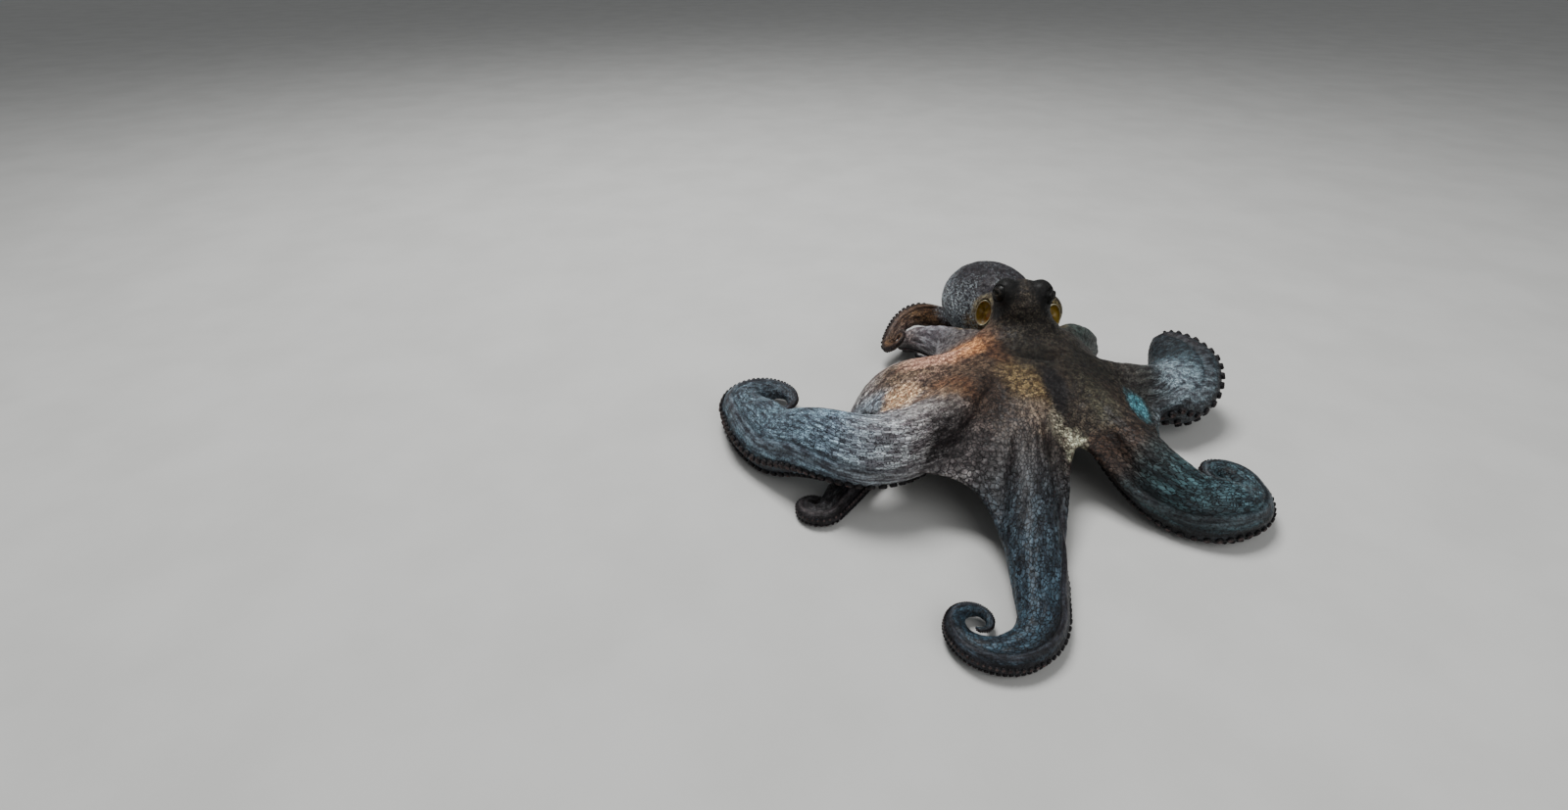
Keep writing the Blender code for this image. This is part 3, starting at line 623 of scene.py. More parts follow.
class Layout:
    """The place of every skin point on the animal: its arm, and how far along, across and down it is."""

    def __init__(self, points, paths):
        self.points = points
        self.names = list(paths)
        apart, self.along = locate(points, paths)
        self.which = apart.argmin(axis=1)
        self.s = self.along[np.arange(len(points)), self.which]
        self.across, self.down, self.deep = np.zeros((3, len(points)))
        for name, path in paths.items():
            mine = self.on(name)
            s = self.s[mine]
            rel = points[mine] - at(path, "points", s)
            oral = at(path, "oral", s)
            self.across[mine] = (rel * np.cross(at(path, "tangents", s), oral)).sum(1)
            self.down[mine] = (rel * oral).sum(1)
            self.deep[mine] = at(path, "deep", s)
        self.wide = self.deep * SIDE_RATIO
        self.drop = self.down / self.deep
        closeness = np.exp(-(apart - apart.min(axis=1)[:, None]) / ARM_BLEND)
        self.share = closeness / closeness.sum(axis=1)[:, None]
        x, y, z = points.T
        self.head = smoothstep(*HEAD_UP, z) * (1.0 - smoothstep(*HEAD_BACK, y))
        mantle = 1.0 - smoothstep(*MANTLE_OUT, self.inside(MANTLE_CENTRE, MANTLE_HALF, MANTLE_TILT))
        self.mantle = np.maximum(mantle, smoothstep(*MANTLE_BACK, y) * smoothstep(*MANTLE_UP, z))
        self.trunk = np.clip(self.head + self.mantle, 0.0, 1.0)
        self.on_arm = 1.0 - smoothstep(*ARM_OUT, np.hypot(self.across / self.wide, self.drop))
        self.on_arm *= (1.0 - self.trunk) * smoothstep(*ARM_ALONG, self.s)
        self.free = self.on_arm * smoothstep(*ARM_FREE, self.s)

    def on(self, name):
        """Which points lie nearest the arm of this name."""
        return self.which == self.names.index(name)

    def low_right(self):
        """From 0 high on the animal's left to 1 low on its right, in the mantle's size."""
        x, _, z = self.points.T
        return smoothstep(-0.4, 1.0, -x / MANTLE_HALF[0] - (z - MANTLE_CENTRE[2]) / MANTLE_HALF[2])

    def inside(self, centre, half, pitch=0.0):
        """Distance from the centre of a pitched ellipsoid, 1 on its surface."""
        x, y, z = (self.points - np.array(centre)).T
        c, s = math.cos(pitch), math.sin(pitch)
        y, z = y * c + z * s, z * c - y * s
        return np.sqrt((x / half[0]) ** 2 + (y / half[1]) ** 2 + (z / half[2]) ** 2)


def mottle(points, size, octaves=3, seed=0.0):
    """Soft noise about 0, from -1 to 1, with features of the given size."""
    return np.array([noise.fractal(p, 1.0, 2.0, octaves) for p in (points + seed) / size])


CELL = 0.0023              # width of a cell of the skin's net on a thick arm
CROWN_CELL = 0.028         # its width on the crown, as a share of the distance from the middle
CELL_SCALE = {"right_arm_2": 0.70, "left_arm_2": 0.62}
CELL_STRETCH = 1.8         # its length along the arm, in widths
THICK_ARM = 0.022          # half depth of an arm with cells of full width
ARM_OFFSET = 37.0          # keeps the nets of neighbouring arms from matching
DISC_ARM = "left_arm_2"    # its end is a broad disc
DISC_START = 0.098         # where the disc begins


def arm_net(layout, paths):
    """Coordinates for the net on the arms, in cells: drawn out along the arm, smaller towards its tip."""
    coords = np.zeros((len(layout.s), 3))
    for k, (name, path) in enumerate(paths.items()):
        mine = layout.on(name)
        s = layout.s[mine]
        fine = np.linspace(0.0, path["s"][-1], 600)
        size = np.clip(0.42 + 0.58 * at(path, "deep", fine) / THICK_ARM, 0.45, 1.1)
        size *= CELL * CELL_SCALE.get(name, 1.0)
        steps = np.concatenate([[0.0], np.cumsum(np.diff(fine) / size[1:])])
        local = np.interp(s, fine, size)
        coords[mine, 0] = np.interp(s, fine, steps) / CELL_STRETCH + ARM_OFFSET * k
        coords[mine, 1] = layout.across[mine] / local
        coords[mine, 2] = layout.down[mine] / local
        if name == DISC_ARM:
            coords[mine] = straight_on(coords[mine], layout.points[mine], s, path)
    return coords


def straight_on(coords, points, s, path):
    """The net carried straight on over the broad disc of an arm, where lengths along it crowd together."""
    origin, tangent, oral = (at(path, key, DISC_START)[0] for key in ("points", "tangents", "oral"))
    local = (points - origin) @ np.stack([tangent, np.cross(tangent, oral), oral]).T
    straight = local / (CELL * CELL_SCALE[DISC_ARM]) / [CELL_STRETCH, 1.0, 1.0]
    straight[:, 0] += np.median(coords[np.abs(s - DISC_START) < 0.002, 0])
    return lay_over(coords, smoothstep(DISC_START - 0.012, DISC_START + 0.016, s), straight)


def crown_net(layout):
    """Coordinates for the net on webs and crown: fine by the head, wider and longer outward."""
    x, y, z = layout.points.T
    ring = np.maximum(np.hypot(x, y), 0.012)
    bearing = np.arctan2(x, -y)
    return np.stack([np.log(ring) / 1.25, bearing, z / ring], axis=1) / CROWN_CELL


# ---------------------------------------------------------------- colours of the skin
BROWN = ((74, 64, 52), (28, 22, 19))  # cells and net of the crown

# Tones along each arm: distance in mm, colour of the cells, colour of the net between them.
TONES = {
    "right_arm_1": [(0, (60, 53, 45), (20, 17, 15)), (90, (76, 69, 64), (19, 16, 16)),
                    (150, (62, 70, 76), (12, 13, 17)), (220, (64, 84, 97), (9, 13, 19)),
                    (300, (48, 70, 83), (9, 14, 21)), (380, (50, 66, 76), (14, 19, 25))],
    # right arm 2's near-white stop at 140 mm is painted highlight laid over its pale bluish grey
    "right_arm_2": [(0, (138, 104, 74), (58, 38, 28)), (80, (120, 98, 82), (40, 28, 25)),
                    (140, (210, 208, 206), (70, 64, 66)), (200, (142, 170, 187), (46, 54, 66)),
                    (280, (114, 139, 152), (38, 47, 57)), (360, (100, 118, 128), (36, 42, 50)),
                    (440, (76, 84, 92), (28, 32, 38))],
    "right_arm_3": [(0, (214, 158, 122), (128, 84, 60)), (60, (206, 172, 150), (108, 84, 70)),
                    (105, (190, 180, 172), (74, 68, 66)), (150, (122, 130, 136), (44, 47, 52)),
                    (200, (74, 74, 76), (28, 26, 28)), (340, (58, 56, 56), (19, 18, 18))],
    "right_arm_4": [(0, (112, 104, 96), (62, 54, 49)), (80, (176, 178, 186), (138, 138, 144)),
                    (220, (108, 108, 112), (58, 58, 62))],
    "left_arm_1": [(0, (48, 43, 36), (17, 15, 12)), (90, (62, 52, 44), (18, 14, 12)),
                   (140, (64, 92, 97), (12, 20, 23)), (200, (74, 99, 107), (13, 19, 24)),
                   (300, (64, 82, 88), (15, 21, 27))],
    "left_arm_2": [(0, (42, 40, 35), (17, 16, 14)), (76, (72, 78, 78), (28, 31, 31)),
                   (98, (160, 180, 189), (62, 77, 86)), (124, (150, 172, 181), (56, 70, 79)),
                   (148, (84, 102, 110), (36, 46, 52)), (170, (52, 64, 70), (25, 31, 35)),
                   (204, (44, 52, 58), (20, 24, 28))],
    "left_arm_3": [(0, (44, 52, 50), (19, 25, 25)), (90, (76, 92, 88), (28, 38, 38)),
                   (260, (70, 80, 78), (30, 36, 36))],
    "left_arm_4": [(0, (84, 76, 66), (40, 34, 28)), (120, (96, 82, 68), (46, 39, 32)),
                   (220, (128, 96, 62), (56, 38, 23)), (384, (112, 82, 54), (42, 28, 17))],
}

# Patches: centre and radii in mm, strength, cells, net. Later ones lie over earlier ones.
PATCHES = [
    ((-28, -62, 78), (19, 46, 60), 0.90, (152, 130, 88), (36, 27, 19)),     # ochre, right of the stripe
    ((-34, -94, 74), (24, 22, 40), 0.80, (120, 108, 98), (29, 23, 22)),
    ((-64, -74, 76), (28, 32, 60), 0.80, (56, 45, 39), (18, 13, 12)),       # painted shade in the web's valley between ochre and arm 2
    ((-86, -62, 74), (20, 22, 40), 0.50, (142, 94, 58), (54, 32, 20)),      # rusty streaks beside it
    ((-104, -72, 66), (22, 18, 40), 0.60, (176, 138, 96), (70, 46, 31)),
    ((-98, -114, 58), (42, 30, 50), 0.90, (48, 42, 43), (13, 10, 12)),      # dark web between arms 1 and 2
    ((-112, -6, 62), (34, 24, 36), 0.88, (136, 114, 90), (44, 34, 26)),     # brown top of the shoulder
    ((-60, 6, 76), (30, 20, 34), 0.92, (255, 186, 122), (170, 96, 54)),     # salmon shoulder
    ((-84, 6, 68), (30, 18, 36), 0.88, (248, 196, 166), (124, 88, 72)),
    ((-34, -16, 84), (14, 22, 34), 0.80, (106, 64, 40), (34, 21, 15)),      # rusty brown under the right eye
    # of the two patches below, the pale flame is painted highlight on the root of right arm 2
    ((-150, -24, 52), (20, 22, 34), 0.80, (156, 172, 182), (58, 64, 74)),   # silver, then a pale flame
    ((-126, -44, 60), (17, 26, 34), 0.95, (252, 220, 176), (156, 104, 62)), # on the root of right arm 2
    ((30, -78, 74), (15, 36, 46), 0.70, (84, 82, 66), (23, 22, 18)),        # olive gold, left of the stripe
    ((46, -28, 78), (28, 32, 40), 0.90, (38, 36, 28), (13, 12, 9)),
    ((24, -50, 82), (12, 24, 34), 0.55, (58, 55, 45), (17, 16, 13)),
    ((26, -122, 48), (28, 22, 40), 0.60, (72, 50, 38), (23, 15, 12)),       # brown root of left arm 1
    ((-8, -12, 88), (24, 44, 36), 0.95, (38, 36, 31), (11, 10, 9)),         # stripe down from the head
    ((-1, -66, 78), (11, 34, 40), 0.95, (42, 40, 41), (12, 11, 11)),
    ((12, -90, 64), (12, 16, 30), 0.70, (78, 70, 58), (23, 19, 16)),
    ((0, -113, 52), (11, 14, 26), 0.95, (226, 230, 198), (104, 98, 76)),    # cream at the web's notch
    ((-12, -103, 62), (13, 14, 26), 0.75, (180, 176, 152), (50, 44, 34)),
    ((80, -60, 52), (15, 15, 26), 0.98, (96, 160, 172), (52, 100, 110)),    # turquoise
    ((70, 36, 72), (26, 22, 30), 0.75, (74, 92, 86), (24, 35, 35)),
    ((-26, 72, 66), (20, 12, 16), 0.90, (146, 130, 98), (116, 98, 68)),     # smooth beige behind the opening
]


def ramp(stops, s, which):
    """Colours between the stops at distances s, of the cells (which = 1) or of the net (2)."""
    at_mm = np.array([stop[0] for stop in stops], float) / 1000.0
    colours = np.array([srgb(*stop[which]) for stop in stops])
    return np.stack([np.interp(s, at_mm, column) for column in colours.T], axis=1)


def lay_over(colour, weight, other):
    return colour * (1.0 - weight[:, None]) + np.asarray(other) * weight[:, None]


def lay_both(pair, weight, *colours):
    """Cells and net, each with its own display colour laid over it."""
    return [lay_over(under, weight, srgb(*colour)) for under, colour in zip(pair, colours)]


CROWN_FADE = (70.0, 150.0)  # mm from the middle
PATCH_EDGE = (0.45, 1.25)   # in the patch's radii
LOW_PATCH = 66              # patches centred lower than this many mm leave head and mantle alone
RIM_COLOURS = {-1: ((132, 122, 94), (100, 92, 68)), 1: ((96, 86, 52), (66, 58, 36))}


def paint(layout, soft, fine):
    """Colours of cells and of the net between them, for every point of the skin."""
    x, y, z = layout.points.T * 1000.0
    pair = [sum(layout.share[:, k, None] * ramp(TONES[name], layout.along[:, k], which)
                for k, name in enumerate(layout.names)) for which in (1, 2)]
    crown = 1.0 - smoothstep(*CROWN_FADE, np.hypot(x, y) + 22.0 * soft)
    pair = lay_both(pair, 0.55 * crown, *BROWN)
    for centre, radii, strength, *colours in PATCHES:
        reach = np.sqrt(sum(((v - c) / r) ** 2 for v, c, r in zip((x, y, z), centre, radii)))
        weight = strength * (1.0 - smoothstep(*PATCH_EDGE, reach + 0.30 * soft + 0.12 * fine))
        weight *= 1.0 - layout.trunk * (centre[2] < LOW_PATCH)
        pair = lay_both(pair, weight, *colours)
    return pair


def paint_trunk(layout, pair, soft):
    """Head near black at the eyes, mantle dusky, openings rimmed with beige."""
    pair = lay_both(pair, layout.mantle, (50, 48, 52), (34, 31, 36))
    pair = lay_both(pair, layout.mantle * layout.low_right(), (112, 120, 126), (50, 51, 56))
    pair = lay_both(pair, 0.92 * layout.head * (1.0 - layout.mantle), (66, 61, 52), (19, 17, 16))
    for side in (-1, 1):
        eye = (layout.points - in_head(BROW_CENTRE, side) + [0.0, 0.0, 0.003]) / [1.0, 1.0, 1.45]
        near = 1.0 - smoothstep(0.0130, 0.0195, np.linalg.norm(eye, axis=1) + 0.0015 * soft)
        pair = lay_both(pair, 0.97 * near, (12, 13, 12), (6, 6, 6))
        opening = (layout.points - in_head(CUP_CENTRE, side)) / [1.0, 1.0, 1.25]
        rim = 1.0 - smoothstep(0.0115, 0.0185, np.linalg.norm(opening, axis=1) + 0.001 * soft)
        pair = lay_both(pair, 0.90 * rim * (1.0 - near), *RIM_COLOURS[side])
    patch = 1.0 - smoothstep(0.6, 1.2, layout.inside((-0.028, 0.070, 0.066), (0.018, 0.016, 0.016)))
    return lay_both(pair, 0.9 * patch, (150, 136, 112), (120, 106, 84))


def paint_under(layout, pair, soft):
    """A pale band with a dark groove along each flank, painted shade by the suckers, and more painted shade
    on right arm 1's flank.
    """
    cell, net = pair
    down = layout.drop + 0.05 * soft
    band = smoothstep(0.30, 0.42, down) * (1.0 - smoothstep(0.58, 0.74, down)) * layout.free
    pale = lay_over(cell * 0.62, np.full(len(down), 0.4), srgb(92, 80, 82))
    cell = lay_over(cell, 0.70 * band, pale)
    net = lay_over(net, 0.60 * band, pale * 0.55)
    groove = np.exp(-((down - 0.29) / 0.045) ** 2) * layout.free
    cell = lay_over(cell, 0.65 * groove, srgb(30, 27, 31))
    # painted shade on each arm's underside beside the suckers, reaching less far on right arm 2, whose flank
    # is lit
    dark = smoothstep(0.62, 0.86, down - 0.10 * layout.on("right_arm_2")) * layout.on_arm
    # shaded: painted shade on one flank of right arm 1, short of its coil
    shaded = layout.on("right_arm_1") * smoothstep(0.0, 0.5, layout.across / layout.wide) * layout.free
    shaded *= smoothstep(0.05, 0.35, down) * (1.0 - smoothstep(0.24, 0.30, layout.s))
    dark = np.maximum(dark, 0.8 * shaded * smoothstep(0.150, 0.180, layout.s))
    # the colours of that painted shade
    return lay_both((cell, net), 0.85 * dark, (38, 33, 36), (18, 16, 19))


# ---------------------------------------------------------------- relief of the skin
WRINKLES = 0.00055         # heights of the relief
GROOVE = 0.0009
RIDGE = 0.0005
PEBBLES = 0.00045
FOLDS = 0.0008
CUP_REACH = 0.013          # no relief this near a mantle opening
CLEAR_FADE = 0.006         # length over which it returns


def relief(layout, net, soft, fine):
    """Height to raise each point by: pebbled back, flank groove, folds and lengthwise wrinkles."""
    thick = np.clip(layout.deep / 0.014, 0.25, 1.0)
    back = 1.0 - smoothstep(0.20, 0.42, layout.drop) * layout.on_arm
    wrinkles = mottle(net * [0.10, 0.42, 0.42], 1.0, 2, 8.0) * layout.on_arm
    height = WRINKLES * wrinkles * thick * np.where(layout.on(DISC_ARM), 0.4, 1.0)
    height -= GROOVE * np.exp(-((layout.drop - 0.29) / 0.055) ** 2) * layout.free * thick
    height += RIDGE * np.exp(-((layout.drop - 0.47) / 0.110) ** 2) * layout.free * thick
    return height + PEBBLES * fine * back + FOLDS * soft * (1.0 - layout.on_arm * 0.5) * thick


def keep_clear(layout, height):
    """No relief where the skin meets an eye or an opening, so that nothing pokes through."""
    for side in (-1, 1):
        for centre, reach in ((EYE_CENTRE, EYE_RADIUS + 0.002), (CUP_CENTRE, CUP_REACH)):
            away = np.linalg.norm(layout.points - in_head(centre, side), axis=1)
            height = height * smoothstep(reach, reach + CLEAR_FADE, away)
    return height


# ---------------------------------------------------------------- suckers
SUCKER_LARGEST = 0.0060
SUCKER_SMALLEST = 0.0011
SUCKER_SHARE = 0.31        # diameter as a share of the arm's half width
SUCKER_SCALE = {"left_arm_1": 0.85, "right_arm_1": 0.95, "left_arm_4": 1.4}
# Times the usual distance between neighbours, and degrees that both rows turn to the outer side.
SUCKER_GAP = {"left_arm_4": 1.35}
SUCKER_TURN = {"right_arm_2": 6.0, "left_arm_4": 24.0}
SUCKER_PITCH = 1.06        # distance between neighbours in a row, in diameters
SUCKER_ROW = 21.0          # rows lie this many degrees to each side
ARM_POWER = 2.33           # the arm's section as a superellipse, close to 2 / RING_POWER
SUCKER_PROFILE = [(1.08, -0.80), (1.12, 0.00), (1.12, 0.32), (1.06, 0.56), (0.94, 0.74), (0.78, 0.82),
                  (0.58, 0.70), (0.40, 0.52), (0.20, 0.34)]
SUCKER_POINTS = 12
SUCKER_START = 0.022       # first sucker, from the crown
SUCKER_END = 0.0015        # length of tip without suckers
SUCKER_GROWN = 0.09        # from here on they have their full share of the width
SUCKER_TURN_FROM = 0.10    # where that turn begins, and over which length it grows
SUCKER_TURN_OVER = 0.06


def sucker_template():
    """A cup of unit radius that opens towards +Z, its stalk sunk below z = 0."""
    folds = 0.03 * (-1.0) ** np.arange(SUCKER_POINTS)
    rings = [oval((radius, radius), height + folds * (3 < k < 7), SUCKER_POINTS)
             for k, (radius, height) in enumerate(SUCKER_PROFILE)]
    count = len(rings)
    faces = ring_faces(count, SUCKER_POINTS)
    last, middle = (count - 1) * SUCKER_POINTS, count * SUCKER_POINTS
    faces += [(last + i, last + (i + 1) % SUCKER_POINTS, middle) for i in range(SUCKER_POINTS)]
    faces.append(tuple(range(SUCKER_POINTS - 1, -1, -1)))
    inner = np.repeat(smoothstep(3.5, 6.5, np.arange(count)), SUCKER_POINTS)
    return np.concatenate([*rings, [[0.0, 0.0, 0.28]]]), faces, np.append(inner, 1.0)


def sucker_places(name, path):
    """Centre, outward and lengthwise directions and radius of each sucker, in two alternating rows."""
    scale, gap = SUCKER_SCALE.get(name, 1.0), SUCKER_GAP.get(name, 1.0)
    found, s, sign = [], SUCKER_START, 1.0
    while s < path["s"][-1] - SUCKER_END:
        middle, oral, tangent = (at(path, key, s)[0] for key in ("points", "oral", "tangents"))
        wide, deep = at(path, "wide", s)[0], at(path, "deep", s)[0]
        size = scale * min(SUCKER_LARGEST, SUCKER_SHARE * wide) * (0.45 + 0.55 * ease(s / SUCKER_GROWN))
        size = max(SUCKER_SMALLEST, size)
        side = np.cross(tangent, oral)
        outward_turn = SUCKER_TURN.get(name, 0.0) * ease((s - SUCKER_TURN_FROM) / SUCKER_TURN_OVER)
        turn = math.radians(SUCKER_ROW * sign + outward_turn)
        across, drop = math.sin(turn), math.cos(turn)
        reach = (abs(across) ** ARM_POWER + abs(drop) ** ARM_POWER) ** (-1.0 / ARM_POWER)
        centre = middle + (side * wide * across + oral * deep * drop) * reach
        found.append((centre, unit(oral * drop + side * across), tangent, size / 2.0))
        s += gap * SUCKER_PITCH * size / 2.0
        sign = -sign
    return found


def build_suckers(paths):
    """All suckers as one mesh, and how far inside its cup each point lies."""
    shape, faces, inner = sucker_template()
    chance = np.random.default_rng(11)
    vertices, all_faces = [], []
    for name, path in paths.items():
        for centre, outward, tangent, radius in sucker_places(name, path):
            across = unit(np.cross(outward, tangent))
            along = np.cross(across, outward)
            size = radius * chance.uniform(0.93, 1.05)
            lean = chance.normal(0.0, 0.07, 2)
            third = outward + across * lean[0] + along * lean[1]
            start = len(vertices) * len(shape)
            all_faces += [tuple(start + i for i in face) for face in faces]
            vertices.append(shape @ np.stack([across, along, third]) * size + centre)
    points = np.concatenate(vertices)
    points[:, 2] = np.maximum(points[:, 2], 0.0)
    return plain_object("suckers", points, all_faces), np.tile(inner, len(vertices))


# ---------------------------------------------------------------- skin, put together
def set_attribute(obj, name, values):
    """One number, or one colour or vector, for each vertex."""
    values = np.asarray(values, np.float32)
    if values.ndim == 2:
        values = np.pad(values, ((0, 0), (0, 1)), constant_values=1.0)
        obj.data.attributes.new(name, "FLOAT_COLOR", "POINT").data.foreach_set("color", values.ravel())
    else:
        obj.data.attributes.new(name, "FLOAT", "POINT").data.foreach_set("value", values)


def finished(obj, **attributes):
    """The object with these values on its vertices and its faces shaded smooth."""
    for name, values in attributes.items():
        set_attribute(obj, name, values)
    obj.data.polygons.foreach_set("use_smooth", np.ones(len(obj.data.polygons), bool))
    obj.data.update()
    return obj


# Suckers: their outer walls are painted shade, kept near black as they lie in shadow under the arms; the
# cups inside are paler.
SUCKER_SHADED_WALL = (27, 25, 28)
SUCKER_INSIDE = (92, 78, 76)


def net_strength(layout):
    """How clearly the net shows: less on the flanks, the mantle and the smoother arms."""
    under = smoothstep(0.15, 0.45, layout.drop) * layout.on_arm
    disc = layout.on(DISC_ARM) * smoothstep(0.085, 0.12, layout.s)
    dome = layout.on("right_arm_4")
    return (1.0 - 0.70 * under) * (1.0 - 0.75 * layout.mantle) * (1.0 - 0.45 * disc) * (1.0 - 0.65 * dome)


def fleck_strength(layout):
    """How many pale flecks the mantle bears: most low on its right, few on top."""
    uneven = mottle(layout.points, 0.018, 2, 9.0)
    return layout.mantle * np.clip(0.06 + 0.90 * layout.low_right() + 0.40 * uneven, 0.0, 1.0)


def streak_strength(layout):
    """Where fine lengthwise streaks show: most on the flanks and on the second right arm."""
    flank = smoothstep(-0.10, 0.35, layout.drop) * layout.on_arm
    disc = layout.on(DISC_ARM) * smoothstep(0.085, 0.12, layout.s)
    right = layout.on("right_arm_2") * smoothstep(0.10, 0.15, layout.s)
    everywhere = (0.35 - 0.15 * disc + 0.40 * right) * layout.on_arm
    return np.clip(everywhere + flank * (1.0 - 0.7 * disc), 0.0, 1.0)


def build_skin(paths):
    """The whole skin with its relief, suckers and colours."""
    flesh = build_flesh(paths)
    points = points_of(flesh)
    layout = Layout(points, paths)
    soft = mottle(points, 0.016, 3, 0.3)
    fine = mottle(points, 0.0042, 3, 2.7)
    net_on_arm = arm_net(layout, paths)
    height = keep_clear(layout, relief(layout, net_on_arm, soft, fine))
    points = points + points_of(flesh, "normal") * height[:, None]
    points[:, 2] = np.maximum(points[:, 2], 0.0)
    set_points(flesh, points)
    cell, net = paint_under(layout, paint_trunk(layout, paint(layout, soft, fine), soft), soft)
    suckers, inner = build_suckers(paths)
    # the suckers' near-black outer walls are painted shade
    cup = lay_over(srgb(*SUCKER_SHADED_WALL), inner, srgb(*SUCKER_INSIDE))
    bare, none = np.zeros(len(inner)), np.zeros((len(inner), 3))
    values = dict(cell=(cell, cup), net=(net, cup * 0.7), arm_place=(net_on_arm, none),
                  crown_place=(crown_net(layout), none), on_arm=(layout.on_arm, bare),
                  on_trunk=(layout.trunk, bare), netted=(net_strength(layout), bare),
                  streaked=(streak_strength(layout), bare), flecked=(fleck_strength(layout), bare))
    values = {name: np.concatenate(both) for name, both in values.items()}
    return finished(joined("skin", [flesh, suckers]), **values)


# ---------------------------------------------------------------- eyes, openings, mouth
# A mantle opening, from its outside over the rim and in: share of its half size, height in lengths.
CUP_OUTSIDE = [(0.55, -1.00), (0.72, -0.80), (0.86, -0.50), (0.94, -0.22), (0.99, -0.02)]
CUP_RIM = [(0.985, 0.06), (0.95, 0.10), (0.90, 0.08), (0.86, 0.01)]
CUP_INSIDE = [(0.82, -0.07), (0.74, -0.15), (0.64, -0.21), (0.50, -0.25), (0.34, -0.26), (0.16, -0.25)]
CUP_POINTS = 72
CORNEA_BULGE = 0.035               # in eye radii
CORNEA_ANGLE = 0.55                # how far from the gaze it falls off, in radians
JAWS = ((1.0, 1.0), (-1.0, 0.82))  # side of the mouth, size
JAW_BEND = 1.15                    # radians from root to tip
JAW_POINTS = 20


def build_eye(side, name):
    """An eyeball with a bulging cornea; its own directions are kept for the iris and slit pupil."""
    gaze, faces = ball(96, 72)
    from_axis = np.arccos(np.clip(gaze[:, 2], -1.0, 1.0))
    bulge = 1.0 + CORNEA_BULGE * np.exp(-(from_axis / CORNEA_ANGLE) ** 2)
    points = (gaze * (EYE_RADIUS * bulge)[:, None]) @ eye_frame(side).T + in_head(EYE_CENTRE, side)
    return finished(mesh_object(name, points, faces), gaze=gaze)


def build_opening(side, name):
    """A soft funnel-like cup with a rounded pale rim, folds inside and a closed floor."""
    bed, place = cup_frame(side)
    profile = CUP_OUTSIDE + CUP_RIM + CUP_INSIDE
    turn = 2.0 * math.pi * np.arange(CUP_POINTS) / CUP_POINTS
    rings, depth = [], []
    for k, (share, along) in enumerate(profile):
        inside = smoothstep(len(CUP_OUTSIDE) + 2, len(profile) - 3, k)
        folds = 1.0 + 0.05 * inside * np.cos(5.0 * turn + 0.8) + 0.015 * np.sin(3.0 * turn)
        height = along * CUP_LENGTH + 0.0012 * inside * np.cos(2.0 * turn)
        rings.append(oval(CUP_HALF[:, None] * share * folds, height, CUP_POINTS))
        depth += [inside] * CUP_POINTS
    obj = loft(name, np.array(rings) @ bed.T + place)
    across, up = ((points_of(obj) - place) @ bed)[:, :2].T / CUP_HALF[:, None]
    return finished(obj, depth=depth + [0.0, 1.0], fold=across * side + 0.55 * up, height=up)


def build_mouth():
    """Puckered lips round a hollow, opening downward."""
    out, faces = ball(96, 64)
    polar = np.arccos(np.clip(-out[:, 2], -1.0, 1.0))
    turn = np.arctan2(out[:, 1], out[:, 0])
    pucker = np.exp(-((polar - 0.55) / 0.35) ** 2)
    radius = 0.93 + 0.07 * pucker - 0.42 * np.exp(-(polar / 0.26) ** 2)
    radius += 0.030 * pucker * np.cos(18.0 * turn) + 0.012 * pucker * np.cos(7.0 * turn + 1.0)
    obj = mesh_object("mouth_lips", out * (radius * MOUTH_RADIUS)[:, None] + MOUTH_CENTRE, faces)
    return finished(obj, depth=np.exp(-(polar / 0.34) ** 2))


def build_beak():
    """Two curved horny jaws, one biting past the other, in the hollow of the lips."""
    halves = []
    sine = circle(JAW_POINTS)[1]
    for sign, size in JAWS:
        rings = []
        for t in np.linspace(0.0, 1.0, 14):
            reach = 0.0046 * size
            forward = sign * (0.0030 - reach * (1.0 - math.cos(JAW_BEND * t)))
            half = 0.0030 * size * (1.0 - t) ** 0.7 + 0.00015
            keel = half * (1.0 + 0.25 * sine * sign)
            ring = oval((0.75 * keel, 0.62 * keel), -reach * math.sin(JAW_BEND * t), JAW_POINTS)
            rings.append(ring + [0.0, forward, 0.0])
        halves.append(loft("jaw", rings))
    beak = joined("beak", halves)
    set_points(beak, points_of(beak) + np.array(MOUTH_CENTRE) - [0.0, 0.0, 0.58 * MOUTH_RADIUS])
    return finished(beak)


